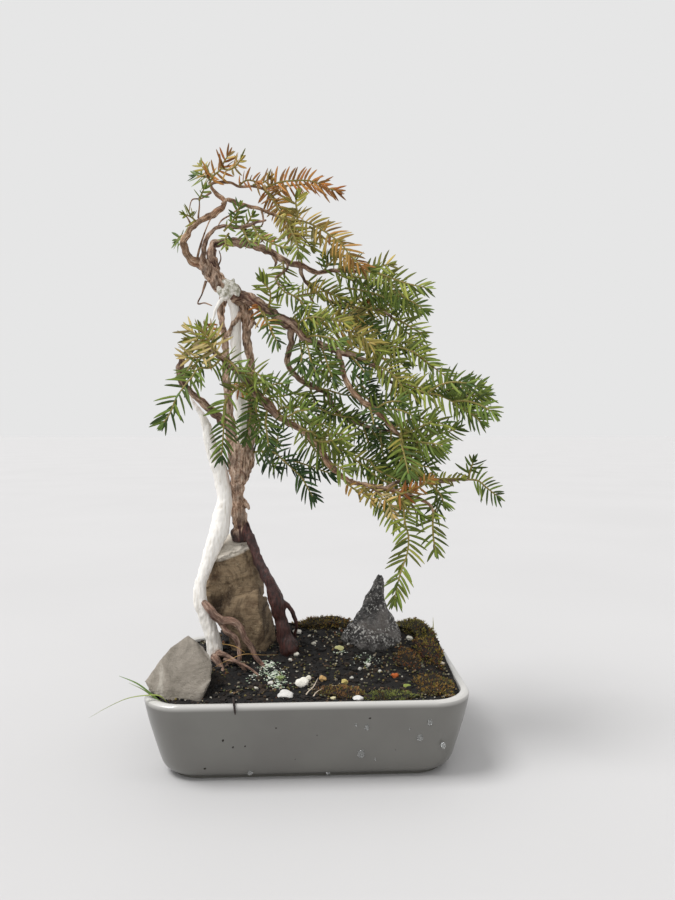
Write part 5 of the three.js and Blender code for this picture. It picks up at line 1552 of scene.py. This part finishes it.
# Sifted grit: matt, each crumb in its own tone, with pits of 0.7 mm.
grit_finish = tinted_finish("loose grit", 0.9, 0.6, 1500.0)
spots = []
while len(spots) < GRIT_COUNT:
    x, y = rng.uniform(-half_x, half_x), rng.uniform(-half_y, half_y)
    if not inside_pot(x, y, 1.0):
        continue
    size = 0.45 + 1.0 * rng.random() ** 2.2
    colour = rng.choices(*zip(*GRIT_COLOURS))[0]
    sizes = size * np.array((rng.uniform(0.8, 1.3), rng.uniform(0.7, 1.1), rng.uniform(0.6, 0.9)))
    spots.append((x, y, soil_height(x, y) + 0.2 * size, sizes, colour))
    patch = lump(x / 11, y / 11, 9.5) + 0.25 * ease(x, -40, 60)
    if patch > 0.12 and rng.random() < 0.5:
        size = rng.uniform(0.3, 0.75)
        aside, beyond = x + rng.gauss(0, 1.0), y + rng.gauss(0, 1.0)
        if inside_pot(aside, beyond, 1.0):
            lift = soil_height(aside, beyond) + 0.7 + 0.5 * size
            sizes = size * np.array((1.2, 0.9, 1.0))
            spots.append((aside, beyond, lift, sizes, rng.choice(CHAFF_COLOURS)))
    if rng.random() < CLOD_SHARE:
        size = rng.uniform(1.3, 2.3)
        sizes = size * np.array((1.1, 0.9, 0.8))
        spots.append((x, y, soil_height(x, y) + 0.15 * size, sizes, rng.choice(CLOD_COLOURS)))
grit = scatter("loose_grit", spots, pebbles, grit_finish, rng)


# Pumice and perlite: the largest lump lies near the front rim, with two dozen smaller white,
# cream and orange grains round it and between the stones. They lie loose on the soil.
PUMICE = [  # x, y, size across and height in millimetres, and colour
    (-4, -38, 4.2, 3.2, "#efebe0"), (-14, -50, 5.0, 2.2, "#dedbd6"), (-8, 27, 3.0, 1.8, "#d8d5cc"),
    (-2, 46, 2.2, 1.5, "#e0dccf"), (-8, -4, 2.0, 1.4, "#dcd8ca"), (30, -58, 3.0, 1.8, "#e2dfdb"),
    (0, -30, 2.2, 1.5, "#e4dfcf"), (9, -31, 2.4, 1.9, "#c9a36b"), (56, -29, 2.6, 1.5, "#c0622c"),
    (23, -36, 2.3, 1.6, "#cdbb74"), (21, 2, 3.0, 2.0, "#c8c48a"), (72, 14, 2.4, 1.6, "#dcd9cc"),
    (76, 30, 2.8, 1.9, "#e1ddcf"), (90, -12, 2.0, 1.4, "#d8cdb9"), (79, -50, 1.8, 1.3, "#d6cfbd"),
    (62, -42, 2.4, 1.5, "#8f9a4c"), (-24, -34, 2.0, 1.4, "#dcd9cf"), (-33, -40, 1.7, 1.2, "#d3cfc2"),
    (40, -16, 1.5, 1.1, "#d7d4cb"), (88, 8, 2.2, 1.5, "#d9d3bd"), (34, -20, 1.3, 1.0, "#cfccc4"),
    (47, -22, 1.4, 1.0, "#dad7cd"), (-12, -10, 1.4, 1.1, "#d3cfc5"), (4, 10, 1.6, 1.2, "#ccc8bb"),
    (15, -56, 1.6, 1.1, "#d9d0a9"), (28, -30, 1.2, 0.9, "#cdcac1"),
]
PERLITE_TRIES = 90
PERLITE_COLOURS = ("#d8d4c8", "#c5c0b2", "#b5a98a")
PUMICE_SEED = 21

rng = random.Random(PUMICE_SEED)
lumps = [rough_pebble(3, 5.1 * k + 1) for k in range(4)]
# Broken pumice: chalky, and deeply pitted every 0.4 mm.
pumice_finish = tinted_finish("porous pumice", 0.92, 0.9, 2600.0)
spots = []
for x, y, across, tall, colour in PUMICE:
    sizes = np.array((across, across * rng.uniform(0.7, 0.95), tall))
    spots.append((x, y, soil_height(x, y) + tall * 0.55, sizes, colour))
for _ in range(PERLITE_TRIES):
    x, y = rng.uniform(-half_x, half_x), rng.uniform(-half_y, half_y)
    if inside_pot(x, y, 3):
        size = rng.uniform(0.35, 0.8)
        colour = rng.choice(PERLITE_COLOURS)
        spots.append((x, y, soil_height(x, y) + 0.3, size * np.ones(3), colour))
small = [rough_pebble(2, 3.7 * k + 2) for k in range(3)]
pumice = scatter("pumice_grains", spots[:len(PUMICE)], lumps, pumice_finish, rng)
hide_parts("pumice_grain")
perlite = scatter("perlite_crumbs", spots[len(PUMICE):], small, pumice_finish, rng)


# Moss grows in cushions at the back and down the right side, and in low mats by the front
# rim. A cushion is a lumpy dome under many hundreds of short pointed stems; the dome is
# coloured nearly black as painted shade deep among the stems.
# The last, deepest tone colours the dome: painted shade under the stems.
MOSS = {  # x, y, half widths and height in millimetres, then stems and tones from pale to deep
    "moss_back": ((12, 43, 23, 10, 6.0), 1500, ("#8f7c36", "#6a5a26", "#4e4019", "#7f5828", "#241d0f")),
    "moss_right": ((81, 34, 13, 18, 7.0), 1500, ("#a5994a", "#82783a", "#5d5c2a", "#74502a", "#241f10")),
    "moss_corner": ((84, 3, 9, 19, 3.6), 1100, ("#a58c46", "#77742f", "#8a5c33", "#5b3428", "#1f170d")),
    "moss_middle": ((46, 46, 14, 9, 4.5), 700, ("#82773a", "#5f5828", "#4e4220", "#74522a", "#211a0e")),
    "moss_front": ((20, -48, 13, 7, 2.6), 700, ("#8f6a40", "#6f4c2c", "#77702f", "#4a3620", "#1d140b")),
    "moss_front_right": ((50, -55, 15, 7, 2.4), 800, ("#7c8140", "#5f6630", "#4c502a", "#5b4a26", "#16150b")),
    "moss_far_right": ((80, -42, 11, 14, 2.6), 900, ("#a5863f", "#77522a", "#6e692f", "#4e3a20", "#1c150b")),
    "moss_stone_foot": ((67, -8, 8, 12, 2.0), 450, ("#937238", "#645028", "#85502d", "#443723", "#1c150b")),
}
# A stem is a three-sided spike, pale at its tip and darkened at its foot as painted shade.
SPIKE = np.array([(1, 0, 0), (-0.5, 0.87, 0), (-0.5, -0.87, 0), (0, 0, 1)], float)
SPIKE_FACES = [(0, 2, 1), (0, 1, 3), (1, 2, 3), (2, 0, 3)]

# Living moss: quite matt, with pale tips over dark hollows; the dark is painted shade.
moss_finish = tinted_finish("cushion moss", 0.95, 0.5, 1800.0)
for name, ((cx, cy, rx, ry, tall), stems, tones) in MOSS.items():
    rng = random.Random(len(name) * 31 + int(cx))  # a seed of its own for each cushion
    bpy.ops.object.select_all(action="DESELECT")
    bpy.ops.mesh.primitive_ico_sphere_add(subdivisions=4, radius=1)
    dome = bpy.context.object
    points, faces, colours = [], [], []
    for v in dome.data.vertices:
        bump = 1 + 0.35 * noise.noise(v.co * 2.2 + Vector((cx, cy, 0))) + 0.3 * noise.noise(v.co * 6.0)
        x, y = cx + v.co.x * rx * bump, cy + v.co.y * ry * bump
        x = max(-half_x + 1, min(half_x - 1, x))
        y = max(-half_y + 1, min(half_y - 1, y))
        points.append((x, y, soil_height(x, y) + v.co.z * tall * bump))
        # The dome takes the deepest tone, as painted shade under the stems.
        colours.append(hex_colour(tones[-1]))
    faces += [tuple(p.vertices) for p in dome.data.polygons]
    normals = [v.normal.copy() for v in dome.data.vertices]
    bpy.data.objects.remove(dome)
    tops = [i for i, normal in enumerate(normals) if normal.z > 0.05]
    for _ in range(stems):
        i = rng.choice(tops)
        foot = np.array(points[i]) + (rng.gauss(0, 0.5), rng.gauss(0, 0.5), 0)
        up = np.array(normals[i]) * 0.7 + (rng.gauss(0, 0.4), rng.gauss(0, 0.4), 0.6)
        up /= np.linalg.norm(up)
        beside = np.cross(up, (0.3, 1, 0.1))
        beside /= np.linalg.norm(beside)
        third = np.cross(up, beside)
        reach, thick = rng.uniform(0.6, 2.0), rng.uniform(0.2, 0.4)
        spike = foot + SPIKE[:, :1] * thick * beside + SPIKE[:, 1:2] * thick * third
        spike = spike + SPIKE[:, 2:] * reach * up
        faces += [tuple(k + len(points) for k in face) for face in SPIKE_FACES]
        points += list(spike)
        where = 0.5 + 0.9 * noise.noise(Vector(foot) * 0.3) + rng.gauss(0, 0.2)
        tip = hex_colour(tones[min(3, max(0, int(where * 4)))])
        # Painted shade: a stem's foot is 0.6 of its tone, its pale tip 1.7 times that tone.
        colours += [[c * 0.6 for c in tip[:3]] + [1.0]] * 3 + [[c * 1.7 for c in tip[:3]] + [1.0]]
    cushion = new_piece(name + "_cushion", [np.array(p) / 1000 for p in points], faces, moss_finish)
    carry(cushion, "tint", colours)
    bpy.ops.object.shade_smooth_by_angle(angle=math.radians(60))
    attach(cushion, "root")
    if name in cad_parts:
        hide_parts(name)


# Blades of grass grow out over the left rim, dry ones lie across the roots, and a few dead
# twigs and stems stand in the soil. Each is a narrow folded strip that tapers to a point.
BLADES = {  # tone, width in millimetres and points
    "long_green_blade": ("#8c9a45", 1.7, [
        (-83, -58, 46), (-88, -60, 52.5), (-97, -60, 53), (-109, -57, 50), (-122, -53, 43), (-133, -50, 36)
    ]),
    "short_green_blade": ("#5f7a35", 2.2, [(-86, -57, 45), (-94, -56, 52), (-103, -54, 58), (-115, -49, 61)]),
    "thin_green_blade": ("#7c8c45", 1.4, [(-85, -56, 45), (-93, -55, 50), (-100, -53, 54), (-109, -50, 57)]),
    "dry_blade_left": ("#b08a4a", 0.8, [(-57, -14, 69), (-48, -20, 69), (-41, -24, 66)]),
    "dry_blade_long": ("#b58f55", 0.8, [
        (-62, -30, 58), (-51, -32, 64), (-41, -30, 67), (-30, -26, 65), (-19, -20, 63)
    ]),
    "pale_twig_front": ("#b9aa98", 1.0, [(-2, -52, 48), (0, -50, 50), (3, -48, 52), (6, -44, 56)]),
    "pale_twig_short": ("#b3a491", 0.9, [(3, -53, 48), (5, -50, 49.5), (9, -48, 51)]),
    "pale_sprout": ("#b9b57f", 1.0, [(91, 36, 52), (93, 38, 57), (94, 40, 63), (94, 41, 70)]),
    "red_stem_back": ("#7c3b22", 0.8, [(88, 22, 52), (90, 25, 58), (91, 28, 63)]),
    "red_stem_front": ("#7a3c24", 0.8, [(86, 6, 52), (87, 8, 57), (89, 10, 61)]),
}

# Grass and dry stems: smooth skin with a slight sheen and a faint mottling of 1.3 mm.
blade_finish = tinted_finish("grass and dry stems", 0.6, 0.2, 800.0)
for name, (colour, width, route) in BLADES.items():
    line = smooth_through(route, 1.5)
    count = len(line)
    points, faces = [], []
    tangents = np.gradient(line, axis=0)
    for i, (p, t) in enumerate(zip(line, tangents)):
        t = t / np.linalg.norm(t)
        beside = np.cross(t, (0, 0, 1))
        beside /= np.linalg.norm(beside) + 1e-9
        up = np.cross(beside, t)
        half = width / 2 * (1 - (i / (count - 1)) ** 2.5 * 0.85)
        thin = 0.18 * half
        points += [p - beside * half, p + up * thin * 0.4, p + beside * half, p - up * (thin + half * 0.3)]
    for i in range(count - 1):
        for k in range(4):
            a, b = 4 * i + k, 4 * i + (k + 1) % 4
            faces.append((a, b, b + 4, a + 4))
    faces += [(3, 2, 1, 0), tuple(4 * (count - 1) + k for k in range(4))]
    strip = new_piece(name, [p / 1000 for p in points], faces, blade_finish)
    bpy.ops.object.mode_set(mode="EDIT")
    close_with_faces_out()
    carry(strip, "tint", [hex_colour(colour)] * len(points))
    bpy.ops.object.shade_smooth_by_angle(angle=math.radians(70))
    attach(strip, "root")
    if name == "long_green_blade":
        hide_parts("grass_blade")


# Pale lichen crusts the ground in front of the roots: small crumbs, greenish white, with one
# brighter green sprig, and a fine dark root that hangs out over the front rim.
LICHEN = [  # x, y, spread and number of crumbs, in millimetres
    (-27, -14, 6, 170), (-22, -26, 7, 190), (-17, -36, 5, 110), (-34, -26, 6, 60), (40, -10, 8, 90),
    (21, 1, 4, 60),
]
LICHEN_COLOURS = ("#cdd6c4", "#a9bb9f", "#e4e8dc", "#8fa586", "#d9dccf")
LICHEN_SEED = 44
SPRIG_LEAVES = 9
SPRIG_AT = (-18, -32)
SPRIG_GREEN = "#8b9a62"

rng = random.Random(LICHEN_SEED)
spots = []
for cx, cy, spread, count in LICHEN:
    for _ in range(count):
        x, y = rng.gauss(cx, spread * 0.55), rng.gauss(cy, spread * 0.55)
        size = rng.uniform(0.2, 0.7)
        colour = rng.choice(LICHEN_COLOURS)
        sizes = size * np.array((1.2, 0.9, 0.55))
        spots.append((x, y, soil_height(x, y) + 0.5 * size, sizes, colour))
# Dry lichen: matt, pale and crumbly.
lichen_finish = tinted_finish("dry lichen", 0.95, 0.5, 2200.0)
lichen = scatter("lichen_crumbs", spots, pebbles, lichen_finish, rng)

foot_x, foot_y = SPRIG_AT
foot = soil_height(foot_x, foot_y)
for k in range(SPRIG_LEAVES):
    turn = 2 * math.pi * k / SPRIG_LEAVES
    reach = rng.uniform(2.2, 4.2)
    tip_x, tip_y = foot_x + reach * math.cos(turn), foot_y + reach * math.sin(turn)
    route = [
        (foot_x, foot_y, foot - 0.5, 0.35),
        ((tip_x + foot_x) / 2, (tip_y + foot_y) / 2, foot + 2.2, 0.45),
        (tip_x, tip_y, foot + 2.0, 0.2),
    ]
    points, faces, _ = tube(route, 0.8, 5, 0.1, k)
    leaf_blade = new_piece(f"green_sprig_{k}", points, faces, blade_finish)
    carry(leaf_blade, "tint", [hex_colour(SPRIG_GREEN)] * len(points))
    bpy.ops.object.shade_smooth()
    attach(leaf_blade, "root")

# Wet root bark: dark, with hardly any pattern left.
wet_bark = bark_finish(
    "wet root bark", [(0.3, "#181210"), (0.5, "#2c2320"), (0.7, "#483a34")], ("#181210", "#3a2c28")
)
rim_root = [
    (-45, -52, 46, 0.6), (-45, -60, 50.6, 0.65), (-44, -67, 52.1, 0.65), (-43, -71.0, 49.5, 0.6),
    (-42.6, -71.0, 45.0, 0.4),
]
hanging_root = grow_wood("root_over_rim", [rim_root], wet_bark, relief=0.25, step=0.8, sides=8)


# Water from the last spraying clings to the front glaze: flattened clear drops, fuller at
# their lower edge. Dark specks of splashed soil have dried on round them.
DROPS = {  # x and height on the front wall, and radius, in millimetres
    "large": (31.3, 17.2, 2.4), "upper": (34.5, 34.8, 1.5), "right": (66.4, 27.3, 2.0),
    "right_upper": (71.9, 37.3, 1.7), "far_right": (80.5, 21.6, 1.6), "foot_left": (-35.1, 5.4, 1.7),
    "foot_middle": (11.8, 3.4, 1.4), "small_left": (28.0, 36.5, 0.8), "small_low": (40.0, 13.0, 0.8),
    "small_right": (60.0, 33.0, 0.7),
}
SPECKS = {  # x and height on the front wall, width and tallness, in millimetres
    "a": (-50.3, 28.0, 0.8, 1.1), "b": (-44.6, 23.2, 0.6, 0.8), "c": (-37.5, 23.7, 0.5, 0.7),
    "d": (-19.1, 35.3, 0.6, 0.5), "e": (-61.7, 9.0, 0.9, 0.8), "f": (36.2, 40.6, 0.9, 0.6),
    "g": (5.0, 30.0, 0.3, 0.4), "h": (52.0, 19.0, 0.3, 0.3), "i": (-8.0, 14.0, 0.3, 0.4),
}
SPECK_DEPTH = 0.25
MUD = "#26211c"


def on_front_wall(x, z):
    """The point of the pot's front glaze at this place, in millimetres."""
    heights, insets = zip(*OUTER_WALL)
    inset = float(np.interp(z, heights, insets))
    return Vector((x, -pot_size.y * 500 + inset, z))


# Clear water: a smooth, bright lens over the glaze, barely clouded in patches of 1.1 mm.
water = mottled_finish(
    "clear water", 900.0, [(0.3, "#eef2f2"), (0.7, "#ffffff")],
    Roughness=0.03, IOR=1.33, Transmission_Weight=0.88,
)
for name, (x, z, radius) in DROPS.items():
    bpy.ops.object.select_all(action="DESELECT")
    bpy.ops.mesh.primitive_uv_sphere_add(segments=20, ring_count=12, radius=radius / 1000)
    drop = bpy.context.object
    drop.name = "drop_" + name
    bpy.ops.object.mode_set(mode="EDIT")
    bpy.ops.mesh.select_all(action="SELECT")
    bpy.ops.transform.resize(value=(0.85, 0.45, 1.1), center_override=(0, 0, 0))
    bpy.ops.object.mode_set(mode="OBJECT")
    for v in drop.data.vertices:
        low = max(0.0, -v.co.z * 1000 / radius)
        v.co.y -= 0.12 * radius / 1000 * low
        v.co.x *= 1 + 0.15 * low
        v.co += (on_front_wall(x, z) - Vector((0, 0.1 * radius, 0))) / 1000
    drop.data.materials.append(water)
    bpy.ops.object.shade_smooth()
    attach(drop, "root")

# Dried mud: matt and nearly black. Each speck is a pebble pressed flat on the glaze.
dried_mud = tinted_finish("dried splash of soil", 0.9, 0.4, 2500.0)
shape, sides = pebbles[1]
for name, (x, z, width, tallness) in SPECKS.items():
    put = shape * (width, SPECK_DEPTH, tallness) + on_front_wall(x, z)
    speck = new_piece("speck_" + name, put / 1000, sides, dried_mud)
    carry(speck, "tint", [hex_colour(MUD)] * len(put))
    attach(speck, "root")
